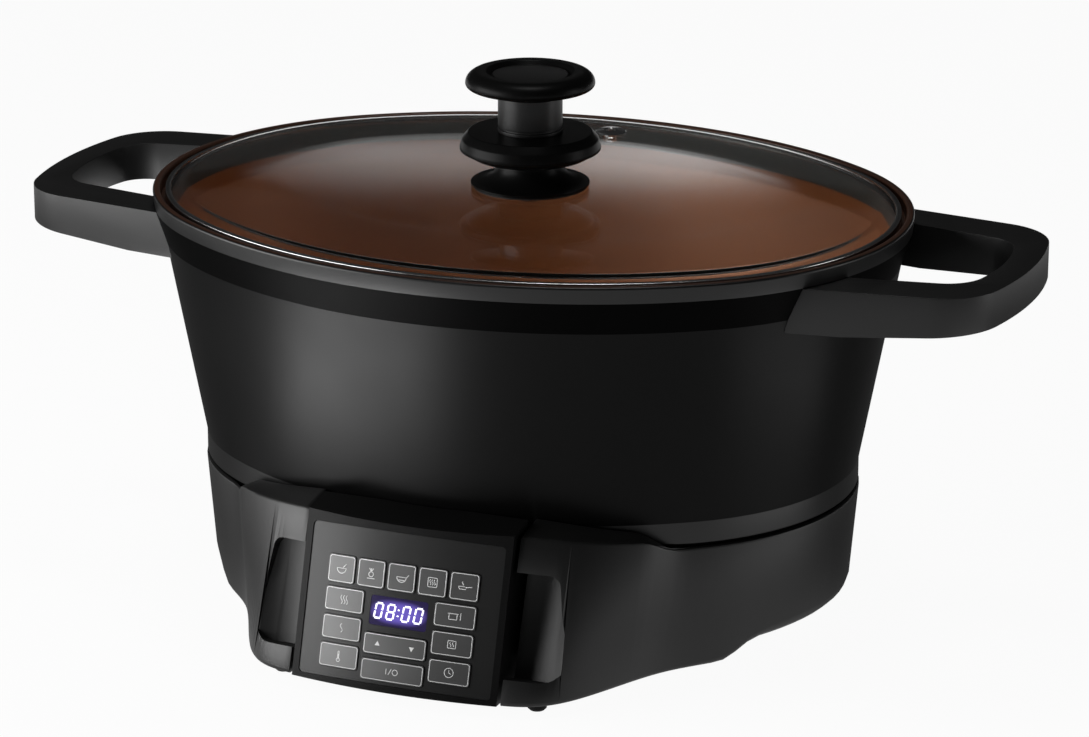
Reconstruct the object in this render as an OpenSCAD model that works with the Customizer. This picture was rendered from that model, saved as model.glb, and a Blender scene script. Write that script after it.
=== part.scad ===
// Oval multicooker: a cast pot with a glass lid, on a heated base with a control pod.
// Millimetres, +Z up, front along -Y, origin on the table under the middle of the whole.

/* [Pot] */
// Half length of the pot's lip
lip_a = 174; // [168:1:182]
// Half width of the pot's lip
lip_b = 139.5; // [136:0.5:144]
// Height of the lip above the table
lip_z = 187; // [178:1:200]
// Width of the lip's top
lip_w = 3.7; // [3.2:0.1:4.5]
// Height of the upright band under the lip
band_h = 7.3; // [6:0.1:9]
// Inward taper of the upright band
band_in = 0.7; // [0.3:0.1:1.2]
// Height of the flared band
flare_h = 14.7; // [12:0.1:18]
// Inward run of the flared band
flare_in = 4.6; // [4:0.1:6]
// Inward run of the wall for each millimetre of height
wall_slope = 0.185; // [0.17:0.005:0.21]
// Height of the upright skirt that meets the base
skirt_h = 10.2; // [8:0.1:12]
// Inset of the spigot that drops into the base
spigot_in = 2.8; // [2.4:0.1:3.4]
// Thickness of the pot's wall
pot_wall = 2.6; // [2:0.1:3.2]
// Thickness of the pot's floor
pot_floor = 3; // [2.5:0.1:4]

/* [Lid] */
// Gap between the lip and the lid's rim
lid_gap = 2.1; // [1.5:0.1:2.6]
// Width of the steel rim
rim_w = 2.4; // [2:0.1:3]
// Thickness of the rim's steel
rim_t = 0.6; // [0.4:0.1:0.8]
// Thickness of the glass
glass_t = 4.1; // [3.5:0.1:5]
// Height of the steep border of the glass
border_h = 2.3; // [1.5:0.1:3.5]
// Width of the steep border
border_w = 4.6; // [3.5:0.1:6]
// Rise of the dome inside the border
dome_h = 2.4; // [1:0.1:4]
// Width of the domed zone
dome_w = 47; // [40:1:55]
// Distance of the steam vent behind the knob
vent_y = 98; // [90:1:104]
// Bore of the steam vent
vent_bore = 5; // [4:0.5:6]

/* [Knob] */
// Diameter of the grip disc
grip_d = 57.2; // [50:0.2:62]
// Height of the grip disc
grip_h = 11; // [9:0.5:13]
// Diameter of the inset cap
cap_d = 33; // [26:0.5:36]
// Diameter of the stem
stem_d = 28.8; // [24:0.2:32]
// Height of the stem
stem_h = 16.6; // [14:0.2:20]
// Diameter of the steam collar
collar_d = 63; // [56:0.5:68]
// Height of the steam collar
collar_h = 12.7; // [10:0.1:14]
// Diameter of the foot's flange
foot_flange_d = 53; // [46:0.5:56]
// Height of the foot
knob_foot_h = 11.5; // [10:0.1:14]
// Diameter of the knob's screw
knob_screw_d = 5; // [4:0.5:6]

/* [Handles] */
// Reach of the handles beyond the lip
handle_reach = 59.5; // [52:0.5:66]
// Height of the handles
handle_t = 20.2; // [18:0.2:22]
// Drop of the handles' top below the lip
handle_drop = 7.5; // [7:0.1:10]
// Width of the grip bar at the end
handle_bar = 13.3; // [11:0.1:16]
// Half width of the handle at the pot
handle_root = 71; // [66:0.5:74]
// Half width of the finger opening at the pot
opening_root = 50.5; // [46:0.5:52]
// Radius of the outer corners
handle_corner_r = 29; // [25:0.5:32]
// Distance of the outer corners from the middle
handle_corner_y = 32; // [29:0.5:35]
// Radius of the opening's corners
opening_corner_r = 18; // [15:0.5:20]
// Distance of the opening's corners from the middle
opening_corner_y = 20; // [18:0.5:22]
// Rise of the underside toward the end, in degrees
handle_tilt = 3.8; // [2:0.1:5]
// Length of the cast lugs that carry a handle
lug_l = 9; // [7:0.5:10]
// Height of the cast lugs
lug_h = 8; // [6:0.5:9]

/* [Base] */
// Height of the housing's rim at the ends
rim_z = 61.7; // [58:0.1:66]
// Height of the housing's lower edge at the ends
end_edge_z = 13; // [11:0.5:14]
// Inward taper of the housing from rim to lower edge
housing_taper = 4; // [3:0.1:6]
// Thickness of the housing's wall
housing_wall = 2; // [1.6:0.1:2.4]
// Radius of the shoulders beside the pod
shoulder_r = 138; // [135:0.5:142]
// Thickness of the bottom cover
cover_t = 2; // [1.5:0.1:3]
// Diameter of the feet under the cover
foot_d = 13; // [11:0.5:15]
// Diameter of the feet under the console
nub_d = 8.4; // [7:0.2:10]
// Width of the finger pockets beside the pod
pocket_w = 23; // [18:0.5:25]
// Height of the finger pockets along the panel
pocket_h = 46; // [38:0.5:48]

/* [Control pod] */
// Width of the pod
pod_w = 96.2; // [92:0.2:100]
// Seam between the pod and the housing
pod_seam = 1.6; // [1:0.1:2]
// Thickness of the pod's walls
pod_wall = 2; // [1.6:0.1:2.4]
// Thickness of the panel frame
frame_t = 3; // [2.8:0.1:3.4]
// Height of the panel along its slope
panel_h = 72.4; // [70:0.2:76]
// Lean of the panel, in degrees
panel_lean = 16.4; // [14:0.2:19]
// Reach of the panel's lower edge in front of the middle
panel_reach = 158; // [155:0.5:164]
// Height of the panel's lower edge
panel_edge_z = 5.5; // [5:0.1:7]
// Radius of the panel's bow
bow_r = 302; // [260:2:400]
// Border of the frame beside the fascia
frame_side = 3.1; // [2.6:0.1:4]
// Border of the frame above and below the fascia
frame_end = 3.2; // [2.6:0.1:4]
// Thickness of the fascia
fascia_t = 1.6; // [1.4:0.1:1.8]
// Depth of the fascia below the frame
fascia_sunk = 0.5; // [0.2:0.1:0.8]

/* [Keys] */
// Width of the five mode keys
mode_w = 13; // [11.5:0.1:13.4]
// Gap between neighbouring mode keys
key_gap = 1.4; // [1.4:0.1:2]
// Width of the side keys
side_w = 18.7; // [16:0.1:19]
// Gap between neighbouring rows
row_gap = 1.9; // [1.6:0.1:2.4]
// Width of the rocker, the power key and the rows between the side keys
mid_w = 29.3; // [26:0.1:30]
// Width of the display window
display_w = 26.6; // [22:0.1:27]
// Height of the keys above the fascia
key_proud = 0.6; // [0.3:0.1:1]
// Travel of the keys
key_travel = 0.6; // [0.3:0.1:0.8]
// Swing of the rocker either way, in degrees
rocker_swing = 2.5; // [1.5:0.1:3]
// Diameter of a key's stem
stem_pin_d = 2.6; // [2:0.1:2.8]
// Diameter of the rocker's pivot pin
pivot_d = 2; // [1.6:0.1:2.4]

/* [Heater] */
// Height of the heating plate's top
plate_z = 55.5; // [53:0.1:57]
// Thickness of the heating plate
plate_t = 5.5; // [4:0.1:6.5]
// Diameter of the heating element's tube
element_d = 6.5; // [5:0.1:8]
// Height of the heat shield's floor
shield_z = 28; // [27:0.1:31]
// Thickness of the heat shield
shield_t = 1; // [0.8:0.1:1.4]
// Diameter of the temperature sensor's cap
sensor_d = 26; // [22:0.5:30]
// Travel of the sensor's cap
sensor_travel = 2.5; // [1:0.1:3]

/* [Fits] */
// Clearance around a moving piece
run_gap = 0.3; // [0.2:0.05:0.4]
// Clearance around a key in the fascia
hole_gap = 0.25; // [0.2:0.05:0.3]
// Clearance between fixed pieces that nest
fit_gap = 0.1; // [0.05:0.05:0.15]
// Gap between the pot and the housing
well_gap = 1.2; // [0.9:0.1:1.4]
// Gap between the pot's skirt and the housing's rim
skirt_gap = 1.5; // [1:0.1:2]

/* [Hidden] */
$fn = 96;
black = "#1b1b1c";
dark = "#2a2a2c";
steel = "#c2c3c5";
alloy = "#a9abad";
far = 600;
// Overlap of arcs that would otherwise only touch
tuck = 0.02;
// Distance of the pot's axis behind the origin
pot_y = (panel_reach - lip_b) / 2;

// Oval family: four arcs that share their centres at every inset and join on 3-4-5 lines
oval_unit = (lip_a - lip_b) / 2;
end_x = 3 * oval_unit;
side_y = 4 * oval_unit;
lip_end_r = lip_a - end_x;
side_r = lip_b + side_y;
end_half = atan2(4, 3);
function neat(v) = round(v * 100) / 100;

// Pot levels and insets from the lip
band_z = lip_z - band_h;
flare_z = band_z - flare_h;
skirt_z = rim_z + skirt_gap;
skirt_top_z = skirt_z + skirt_h;
flare_d = band_in + flare_in;
skirt_d = flare_d + wall_slope * (flare_z - skirt_top_z);
spigot_d = skirt_d + spigot_in;
floor_z = plate_z + pot_floor;
lip_round = 1;
toe_r = 4;
floor_d = spigot_d + pot_wall + toe_r;
skirt_toe = 1.2;

// Lid levels
rim_h = glass_t + 2 * (rim_t + fit_gap);
ledge_z = lip_z - rim_h;
lid_d = lip_w + lid_gap;
ledge_d = lid_d + rim_w + 1;
glass_d = lid_d + rim_t + fit_gap;
border_d = lid_d + rim_w + fit_gap;
dome_d = border_d + border_w;
flat_d = dome_d + dome_w;
edge_z = lip_z - rim_t - fit_gap;
dome_z = edge_z + border_h;
glass_z = dome_z + dome_h;

// Knob levels
gasket_t = 0.8;
foot_z = glass_z + gasket_t;
collar_z = foot_z + knob_foot_h;
stem_z = collar_z + collar_h;
grip_z = stem_z + stem_h;
cap_t = 1.5;
neck_r = stem_d / 2;
boss_r = knob_screw_d / 2 + 4;
washer_t = 2.5;
screw_head_t = 3;
knob_screw_top = grip_z - 4;
glass_bore = knob_screw_d + 3;
vent_flange = 3.5;
vent_tube = vent_bore / 2 + 1.2;

// Handle places
handle_top = lip_z - handle_drop;
handle_x = lip_a + handle_reach;
opening_x = handle_x - handle_bar;
handle_bow = 3.5;
opening_bow = 2.2;
lug_angle = 28;
lug_half = 5;
lug_z = handle_top - handle_t / 2 - lug_h / 2;
lug_r = lip_end_r - flare_d - pot_wall / 2;
lug_end = lip_end_r - flare_d + lug_l;
handle_screw_d = 4;
handle_screw_r = lug_end - lug_half;
handle_head_t = 2.6;

// Panel frame: local x across, y up the slope, z out of the panel
panel_top_z = panel_edge_z + panel_h * cos(panel_lean);
panel_top_y = panel_reach - panel_h * sin(panel_lean);
panel_mid_y = -(panel_reach + panel_top_y) / 2;
panel_mid_z = (panel_edge_z + panel_top_z) / 2;
seam_x = pod_w / 2 + pod_seam;
function sag(x) = bow_r - sqrt(bow_r ^ 2 - x ^ 2);
function panel_point(y, z) = [
  0,
  panel_mid_y + y * sin(panel_lean) - z * cos(panel_lean),
  panel_mid_z + y * cos(panel_lean) + z * sin(panel_lean)
];

// Fascia and its rows, which share the panel's height
fascia_w = pod_w - 2 * frame_side;
fascia_h = panel_h - 2 * frame_end;
side_pitch = neat(fascia_h * 0.185);
side_h = side_pitch - row_gap;
mode_h = side_pitch - 0.2;
mid_h = neat(side_pitch * 0.746);
display_h = side_pitch + 0.4;

// Keys as [x, y, width, height] in the panel frame
side_y0 = neat(fascia_h * 0.0144);
mode_y = side_y0 + side_h / 2 + row_gap + mode_h / 2;
row_half = (5 * mode_w + 4 * key_gap) / 2;
side_x = row_half - side_w / 2;
rocker_y = neat(side_y0 - side_pitch * 1.36);
power_y = rocker_y - mid_h - row_gap - 0.2;
display_y = neat(side_y0 - side_pitch * 0.19);
mode_keys = [for (i = [-2:2]) [i * (mode_w + key_gap), mode_y, mode_w, mode_h]];
left_keys = [for (i = [0:2]) [-side_x, side_y0 - i * side_pitch, side_w, side_h]];
right_keys = [for (k = left_keys) [-k[0], k[1], k[2], k[3]]];
power = [0, power_y, mid_w, mid_h];
rocker = [0, rocker_y, mid_w, mid_h];
push_keys = concat(mode_keys, left_keys, right_keys, [power]);
key_corner = 1.2;
flange_w = 0.55;
flange_t = 1;
key_top_r = bow_r - fascia_sunk + key_proud;
under_r = bow_r - fascia_sunk - fascia_t;
rocker_stem_x = mid_w / 2 - 4.5;

// Ledge of the frame that carries the fascia, narrow under the power key
seat_w = 4;
low_seat = fascia_h / 2 + power_y - mid_h / 2 - flange_w - run_gap;
frame_window = [0, (low_seat - seat_w) / 2, fascia_w - 2 * seat_w, fascia_h - seat_w - low_seat];

// Control board levels, as depths behind the panel's middle
switch_w = 5;
switch_h = 4;
board_t = 1.6;
board_half_w = pod_w / 2 - pod_wall - 0.8;
board_top = -(fascia_sunk + fascia_t + hole_gap + flange_t + sag(row_half + flange_w) + switch_h + 2.6);
switch_top = board_top + switch_h;
key_stem_end = switch_top - 1.2;
bore_low = key_stem_end - key_travel - 2 * run_gap;
pivot_z = (board_top - fascia_sunk - fascia_t) / 2 + 0.4;
rocker_rest = rocker_stem_x * sin(rocker_swing) + 1.5 * run_gap;
rocker_gap = neat((key_proud - fascia_sunk - pivot_z) * sin(rocker_swing) + fit_gap);
hub_r = pivot_d / 2 + 1.5;
hub_l = mid_h - 4;
lug_t = 1.5;
board_boss_r = 3;
board_boss_x = board_half_w - board_boss_r + 1;
board_boss_y = mode_y + mode_h / 2 + 2;
board_y0 = power_y - switch_w / 2 - 0.3;
board_y1 = board_boss_y + board_boss_r;
small_screw_d = 2.5;

// Housing outline, as polar radii at angles measured from the front.
// The console leaves the oval at one angle, its top climbs a step and then a slope
leave_from = 55;
leave_run = 12;
well_run = 8;
step_from = 51;
step_run = 9;
slope_to = 15;
solid_from = 62;
solid_run = 12;
drop_from = 68;
drop_run = 9;
soft_from = 80;
soft_run = 30;
end_round = 6.5;
front_round = 2;
function ease(t) = t <= 0 ? 0 : t >= 1 ? 1 : (1 - cos(180 * t)) / 2;
function soft_max(a, b, p) = (a ^ p + b ^ p) ^ (1 / p);
function soft_min(a, b, p) = (a ^ -p + b ^ -p) ^ (-1 / p);
function mix(a, b, t) = a + (b - a) * t;
function front_angle(phi) = abs(phi) > 180 ? 360 - abs(phi) : abs(phi);
function oval_r(d, phi) =
  let (
    ux = abs(sin(phi)),
    uy = abs(cos(phi)),
    re = lip_end_r - d,
    rs = side_r - d,
    joint = atan2(re * sin(end_half), end_x + re * cos(end_half))
  )
  atan2(uy, ux) < joint
    ? ux * end_x + sqrt(re ^ 2 - (end_x * uy) ^ 2)
    : sqrt(rs ^ 2 - (side_y * ux) ^ 2) - uy * side_y;
function leave(f) = ease((leave_from - f) / leave_run);
function rise(f) =
  mix(ease((step_from - f) / step_run), ease((step_from - f) / (step_from - slope_to)), 0.5);
function top_z(f) = mix(rim_z, panel_top_z, rise(f));
function edge_z_at(f) = mix(end_edge_z, panel_edge_z, ease((drop_from - f) / drop_run));
function edge_round(f) = mix(end_round, front_round, ease((soft_from - f) / soft_run));

// Flank of the console at the table, a line that runs out toward the rear
flank_run = 0.444;
flank_x = 139;
flank_from = 60;
flank_in = 0.15;
housing_d = skirt_d - 0.5;
housing_low_d = housing_d + housing_taper;
corner_lift = 1.2;
shelf_lift = 6;
function flank(f) =
  flank_x / (sin(f) + flank_run * cos(f)) * (1 - flank_in * ease((f - flank_from) / (90 - flank_from)));
function console_low(f) =
  soft_min((panel_reach - sag(seam_x) + corner_lift) / cos(f), flank(f), 14);
function console_top(f) =
  soft_min((panel_top_y - sag(seam_x) + shelf_lift) / cos(f), shoulder_r + 3 * cos(f), 20);
function low_r(f) =
  f < 90 ? soft_max(oval_r(housing_low_d, f), console_low(f), 24) : oval_r(housing_low_d, f);
function high_r(f) =
  f < leave_from ? mix(oval_r(housing_d, f), console_top(f), leave(f)) : oval_r(housing_d, f);
function skin_r(f, z) = mix(low_r(f), high_r(f), (z - edge_z_at(f)) / (top_z(f) - edge_z_at(f)));

// Bottom cover levels
cover_z = end_edge_z + 0.5;
cover_top = cover_z + cover_t;

// Well that takes the pot
shelf_back_z = panel_top_z + 3.3;
function pot_d(z) =
  z > band_z ? band_in * (lip_z - z) / band_h
  : z > flare_z ? mix(flare_d, band_in, (z - flare_z) / flare_h)
  : z > skirt_top_z ? mix(skirt_d, flare_d, (z - skirt_top_z) / (flare_z - skirt_top_z))
  : skirt_d;
rim_d = spigot_d - well_gap;
shelf_d = pot_d(shelf_back_z) - well_gap;
well_low_z = plate_z + 0.5;
function well_r(f) = oval_r(mix(rim_d, shelf_d, ease((leave_from - f) / well_run)), f);
function well_z(f) = top_z(f) + (shelf_back_z - panel_top_z) * rise(f);
function solid_share(f) = ease((solid_from - f) / solid_run);
function inner_r(f, z) =
  let (wall = skin_r(f, z) - housing_wall)
  min(wall, mix(wall, well_r(f), solid_share(f)));
function inner_low_r(f) =
  let (wall = low_r(f) - edge_round(f) - 1)
  min(wall, mix(wall, well_r(f), solid_share(f)));

// One section through the housing at an angle from the front, as [radius, height] points
top_edge = 1.2;
edge_steps = 3;
flange_h = 6;
flange_d = housing_low_d + 18;
section_points = edge_steps + 12;
function section(i, f) =
  let (
    r = edge_round(f),
    a = 90 * i / edge_steps,
    z0 = edge_z_at(f),
    z1 = top_z(f),
    k = i - edge_steps
  )
  k <= 0 ? [skin_r(f, z0 + r * (1 - cos(a))) - r * (1 - sin(a)), z0 + r * (1 - cos(a))]
  : k == 1 ? [skin_r(f, z1 - top_edge), z1 - top_edge]
  : k == 2 ? [high_r(f) - 0.3 * top_edge, z1 - 0.3 * top_edge]
  : k == 3 ? [high_r(f) - top_edge, z1]
  : k == 4 ? [well_r(f), well_z(f)]
  : k == 5 ? [well_r(f), well_low_z]
  : k == 6 ? [inner_r(f, well_low_z - 2) - 0.02, well_low_z - 2]
  : k == 7 ? [inner_r(f, cover_top + flange_h), cover_top + flange_h]
  : k == 8 ? [oval_r(flange_d, f), cover_top + flange_h]
  : k == 9 ? [oval_r(flange_d, f), cover_top]
  : k == 10 ? [inner_low_r(f), cover_top]
  : [inner_low_r(f), z0];
function seam_angle(i, f = 20, n = 12) =
  n == 0 ? f : seam_angle(i, asin(seam_x / section(i, f)[0]), n - 1);
// Steps round the ring, closer together at the front
ring_steps = 120;
ring_crowd = 0.6;
function ring_share(j) = j / ring_steps - ring_crowd * sin(360 * j / ring_steps) / (2 * PI);
function ring_point(i, j) =
  let (
    f0 = seam_angle(i),
    phi = f0 + (360 - 2 * f0) * ring_share(j),
    s = section(i, front_angle(phi))
  )
  [s[0] * sin(phi), -s[0] * cos(phi), s[1]];

// Base interior
cover_gap = 0.5;
cover_front = panel_top_y - 19.5;
foot_peg_d = 5;
foot_peg_l = 3;
rear_feet = [[83, 70], [94, -61]];
front_foot = [60, -137];
pod_boss_r = 4.5;
flange_screw_d = housing_low_d + 13;
rear_screw_angle = 20;
cover_screw_d = 3.4;
screw_head_h = 2.5;
pod_screw_x = 30;
pod_screw_y = cover_front - 6;
plate_d = spigot_d + 11.5;
plate_low = plate_z - plate_t;
post_x = 92;
post_y = 46;
post_r = 4;
plate_screw_d = 4;
plate_thread = 3.5;
plate_head_t = 3;
post_bore = plate_screw_d + 0.6;
element_r = 64;
element_z = plate_low - fit_gap - element_d / 2;
element_gap = 9;
terminal_drop = 12;
shield_wall_d = plate_d - 3;
shield_rim_z = plate_z - 1;
guide_wall = 1.7;
guide_r = sensor_d / 2 + run_gap + guide_wall;
guide_top = plate_low - 3;
sensor_top = plate_z - run_gap;
sensor_wall = 1.5;
sensor_low = shield_z + shield_t + sensor_travel + 5;
spring_r = sensor_d / 2 - sensor_wall - 1;
power_board_z = cover_top + 4;
power_board = [pod_w - 2, 44];
power_board_y = -74;
power_screw_in = 4;
relay_size = [19, 15];
relay_place = [14, -8];
gland_angle = -24;
gland_z = 30;
gland_d = 12;
gland_bore = 7;

// Keeps one arc of the oval: children turn about their own upright axis, in the middle of the arc
module end_arcs() {
  for (s = [0, 1])
    rotate([0, 0, 180 * s])
      translate([end_x, 0, 0])
        intersection() {
          children();
          linear_extrude(far, center = true)
            polygon([[0, 0], far * [3, -4], far * [3, 4]]);
        }
}

module side_arcs() {
  for (s = [0, 1])
    rotate([0, 0, 180 * s])
      translate([0, -side_y, 0])
        intersection() {
          children();
          linear_extrude(far, center = true)
            polygon([[0, 0], far * [3, 4], far * [-3, 4]]);
        }
}

// Sweep of a closed outline of [inset, height] points round the oval
module oval_sweep(outline) {
  end_arcs() turned([for (p = outline) [lip_end_r - neat(p[0]), neat(p[1])]]);
  side_arcs() turned([for (p = outline) [side_r - neat(p[0]), neat(p[1])]]);
}

// Body whose skin of [inset, height] points starts over the middle and ends under it
module oval_body(skin) {
  axis = [[0, neat(skin[len(skin) - 1][1])], [0, neat(skin[0][1])]];
  end_arcs() turned(concat([for (p = skin) [lip_end_r - neat(p[0]), neat(p[1])]], axis));
  side_arcs() turned(concat([for (p = skin) [side_r - neat(p[0]), neat(p[1])]], axis));
}

// Quarter of an ellipse from [x0, z0] to [x1, z1], flat at its first end
function curve(x0, z0, x1, z1, steps = 8) =
  [
    for (i = [0:steps])
      let (a = 90 * i / steps)
      [x0 + (x1 - x0) * sin(a), z0 + (z1 - z0) * (1 - cos(a))]
  ];

module ring(r, bore, z0, z1) {
  difference() {
    translate([0, 0, z0]) cylinder(r = r, h = z1 - z0);
    translate([0, 0, z0 - 1]) cylinder(r = bore, h = z1 - z0 + 2);
  }
}

module turned(outline) {
  rotate_extrude() polygon(outline);
}

// Moves a node, drawn about the pot's axis, to its place behind the origin
module placed() {
  translate([0, pot_y, 0]) children();
}

// Lid

function dome_point(d, z) = [d, z + dome_h * (1 - ((flat_d - d) / dome_w) ^ 2)];

module lid_glass() {
  upper = [for (i = [8:-1:0]) dome_point(dome_d + dome_w * i / 8, dome_z)];
  lower = [for (i = [0:8]) dome_point(dome_d + dome_w * i / 8, dome_z - glass_t)];
  border = [
    [border_d, edge_z],
    [glass_d, edge_z],
    [glass_d, edge_z - glass_t],
    [border_d + 1, edge_z - glass_t]
  ];
  placed() color("#8d9aa0", 0.45)
    difference() {
      oval_body(concat(upper, border, lower));
      translate([0, 0, glass_z - 2 * glass_t]) cylinder(d = glass_bore, h = 4 * glass_t);
      translate([0, vent_y, glass_z - 3 * glass_t]) cylinder(r = vent_tube + fit_gap, h = 5 * glass_t);
    }
}

module lid_rim() {
  placed() color(steel)
    oval_sweep([
      [lid_d, ledge_z],
      [lid_d, lip_z - 0.3],
      [lid_d + 0.3, lip_z],
      [lid_d + rim_w, lip_z],
      [lid_d + rim_w, lip_z - rim_t],
      [lid_d + rim_t, lip_z - rim_t],
      [lid_d + rim_t, ledge_z + rim_t],
      [lid_d + rim_w, ledge_z + rim_t],
      [lid_d + rim_w, ledge_z]
    ]);
}

module vent_eyelet() {
  vent_d = lip_b - vent_y;
  top = dome_point(vent_d + vent_tube + vent_flange, dome_z)[1] + 0.02;
  r_out = vent_tube + vent_flange;
  placed() color(steel)
    translate([0, vent_y, 0])
      turned(concat(
        [[vent_bore / 2, top - glass_t - 2.5], [vent_tube, top - glass_t - 2.5], [vent_tube, top + 0.2]],
        [[r_out - 1, top + 0.2], [r_out, top + 0.4], [r_out - 0.4, top + 1]],
        [[vent_bore / 2 + 0.6, top + 1.6], [vent_bore / 2, top + 1.2]]
      ));
}

module knob_gasket() {
  placed() color(dark) ring(foot_flange_d / 2 - 1, glass_bore / 2, glass_z, foot_z);
}

module knob_foot() {
  flange = 1.2;
  flange_r = foot_flange_d / 2;
  bore = knob_screw_d / 2 + run_gap;
  placed() color(black)
    translate([0, 0, foot_z])
      turned(concat(
        [[bore, 0], [flange_r, 0]],
        [for (p = curve(0, flange, flange_r - neck_r, knob_foot_h - 1)) [flange_r - p[0], p[1]]],
        [[neck_r, knob_foot_h], [bore, knob_foot_h]]
      ));
}

module knob_collar() {
  wide_z = 0.37 * collar_h;
  bore = knob_screw_d / 2 + run_gap;
  flat_r = collar_d / 2 - 4;
  placed() color(black)
    translate([0, 0, collar_z])
      turned(concat(
        [[bore, 0]],
        curve(neck_r + 2, 0, collar_d / 2, wide_z),
        [for (i = [1:8]) [flat_r + 4 * cos(11.25 * i), wide_z + (collar_h - wide_z) * sin(11.25 * i)]],
        [[bore, collar_h]]
      ));
}

module knob_stem() {
  groove = 0.7;
  groove_z = 1.6;
  placed() color(black)
    translate([0, 0, stem_z])
      turned([
        [boss_r + run_gap, 0],
        [neck_r, 0],
        [neck_r, groove_z],
        [neck_r - groove, groove_z + 0.3],
        [neck_r - groove, groove_z + 1],
        [neck_r, groove_z + 1.3],
        [neck_r, stem_h],
        [boss_r + run_gap, stem_h]
      ]);
}

module knob_grip() {
  wide_z = grip_h / 2;
  recess_r = cap_d / 2 + 1.8;
  low_r = grip_d / 2 - 5;
  high_r = grip_d / 2 - 4.5;
  placed() color(black)
    translate([0, 0, grip_z])
      difference() {
        union() {
          turned(concat(
            [[0, 0]],
            curve(low_r, 0, grip_d / 2, wide_z),
            [for (i = [1:8]) [high_r + 4.5 * cos(11.25 * i), wide_z + (grip_h - wide_z) * sin(11.25 * i)]],
            [[recess_r, grip_h], [recess_r - 0.5, grip_h - cap_t], [0, grip_h - cap_t]]
          ));
          translate([0, 0, -stem_h]) cylinder(r = boss_r, h = stem_h + 1);
        }
        translate([0, 0, -stem_h - 1]) cylinder(d = knob_screw_d + 2 * fit_gap, h = stem_h - 2);
      }
}

module knob_cap() {
  z = grip_z + grip_h - cap_t;
  placed() color(dark)
    translate([0, 0, z])
      turned([[0, 0], [cap_d / 2, 0], [cap_d / 2, cap_t - 0.5], [cap_d / 2 - 0.6, cap_t - 0.1], [0, cap_t]]);
}

module knob_washer() {
  z = glass_z - glass_t - washer_t;
  placed() color(steel) ring(glass_bore, knob_screw_d / 2 + run_gap, z, z + washer_t);
}

module knob_screw() {
  z = glass_z - glass_t - washer_t;
  placed() color(steel) {
    translate([0, 0, z - screw_head_t]) cylinder(r = knob_screw_d, h = screw_head_t);
    translate([0, 0, z - 0.5]) cylinder(d = knob_screw_d, h = knob_screw_top - z);
  }
}

// Pot

module lug(grow = 0) {
  translate([lug_r, -lug_half - grow, lug_z - grow])
    cube([lug_end - lug_r + grow, 2 * (lug_half + grow), lug_h + 2 * grow]);
}

module at_lugs() {
  for (s = [-1, 1])
    translate([end_x, 0, 0]) rotate([0, 0, s * lug_angle]) children();
}

module pot_shell() {
  cavity = [
    [floor_d, floor_z],
    [spigot_d + pot_wall, floor_z + toe_r],
    [spigot_d + pot_wall, skirt_z + pot_wall],
    [skirt_d + pot_wall, skirt_top_z],
    [flare_d + pot_wall, flare_z],
    [ledge_d, ledge_z - 2],
    [ledge_d, ledge_z],
    [lip_w, ledge_z],
    [lip_w, lip_z - lip_round]
  ];
  skin = concat(
    [[lip_w - lip_round, lip_z], [lip_round, lip_z], [0.3, lip_z - 0.3], [0, lip_z - lip_round]],
    [[band_in, band_z], [flare_d, flare_z], [skirt_d, skirt_top_z], [skirt_d, skirt_z + skirt_toe]],
    [[skirt_d + skirt_toe, skirt_z], [spigot_d, skirt_z], [spigot_d, plate_z + toe_r]],
    [[spigot_d + 0.3 * toe_r, plate_z + 0.3 * toe_r], [spigot_d + toe_r, plate_z]]
  );
  placed() color("#3a2b22")
    difference() {
      union() {
        oval_body(concat(cavity, skin));
        for (s = [0, 1])
          rotate([0, 0, 180 * s]) at_lugs() lug();
      }
      for (s = [0, 1])
        rotate([0, 0, 180 * s])
          at_lugs()
            translate([handle_screw_r, 0, lug_z - 1])
              cylinder(d = handle_screw_d + 2 * fit_gap, h = lug_h - 1);
    }
}

// Point where a line from p runs tangent to the upper side of a circle
function tangent_point(p, c, r) =
  let (
    v = c - p,
    a = atan2(v[1], v[0]) + asin(r / norm(v))
  )
  c + r * [-sin(a), cos(a)];

// Loop outline: bowed end, round corners, straight flanks to the pot
module loop_block(x_end, bow, corner_r, corner_y, root_y, z0, h) {
  u = corner_r + bow;
  bow_end_r = (u ^ 2 + corner_y ^ 2 - corner_r ^ 2) / (2 * bow);
  corner = [x_end - u, corner_y];
  middle = x_end - bow_end_r;
  spread = atan2(corner_y, corner[0] - middle);
  root = [end_x + lip_end_r * cos(50), root_y];
  touch = tangent_point(root, corner, corner_r - tuck);
  for (s = [-1, 1]) translate([corner[0], s * corner_y, z0]) cylinder(r = corner_r, h = h);
  translate([middle, 0, z0])
    intersection() {
      cylinder(r = bow_end_r - tuck, h = h);
      linear_extrude(h)
        polygon([
          [0, 0],
          2 * bow_end_r * [cos(spread), sin(spread)],
          2 * bow_end_r * [cos(spread), -sin(spread)]
        ]);
    }
  translate([0, 0, z0])
    linear_extrude(h)
      polygon([root, touch, corner, [corner[0], -corner[1]], [touch[0], -touch[1]], [root[0], -root[1]]]);
}

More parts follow.
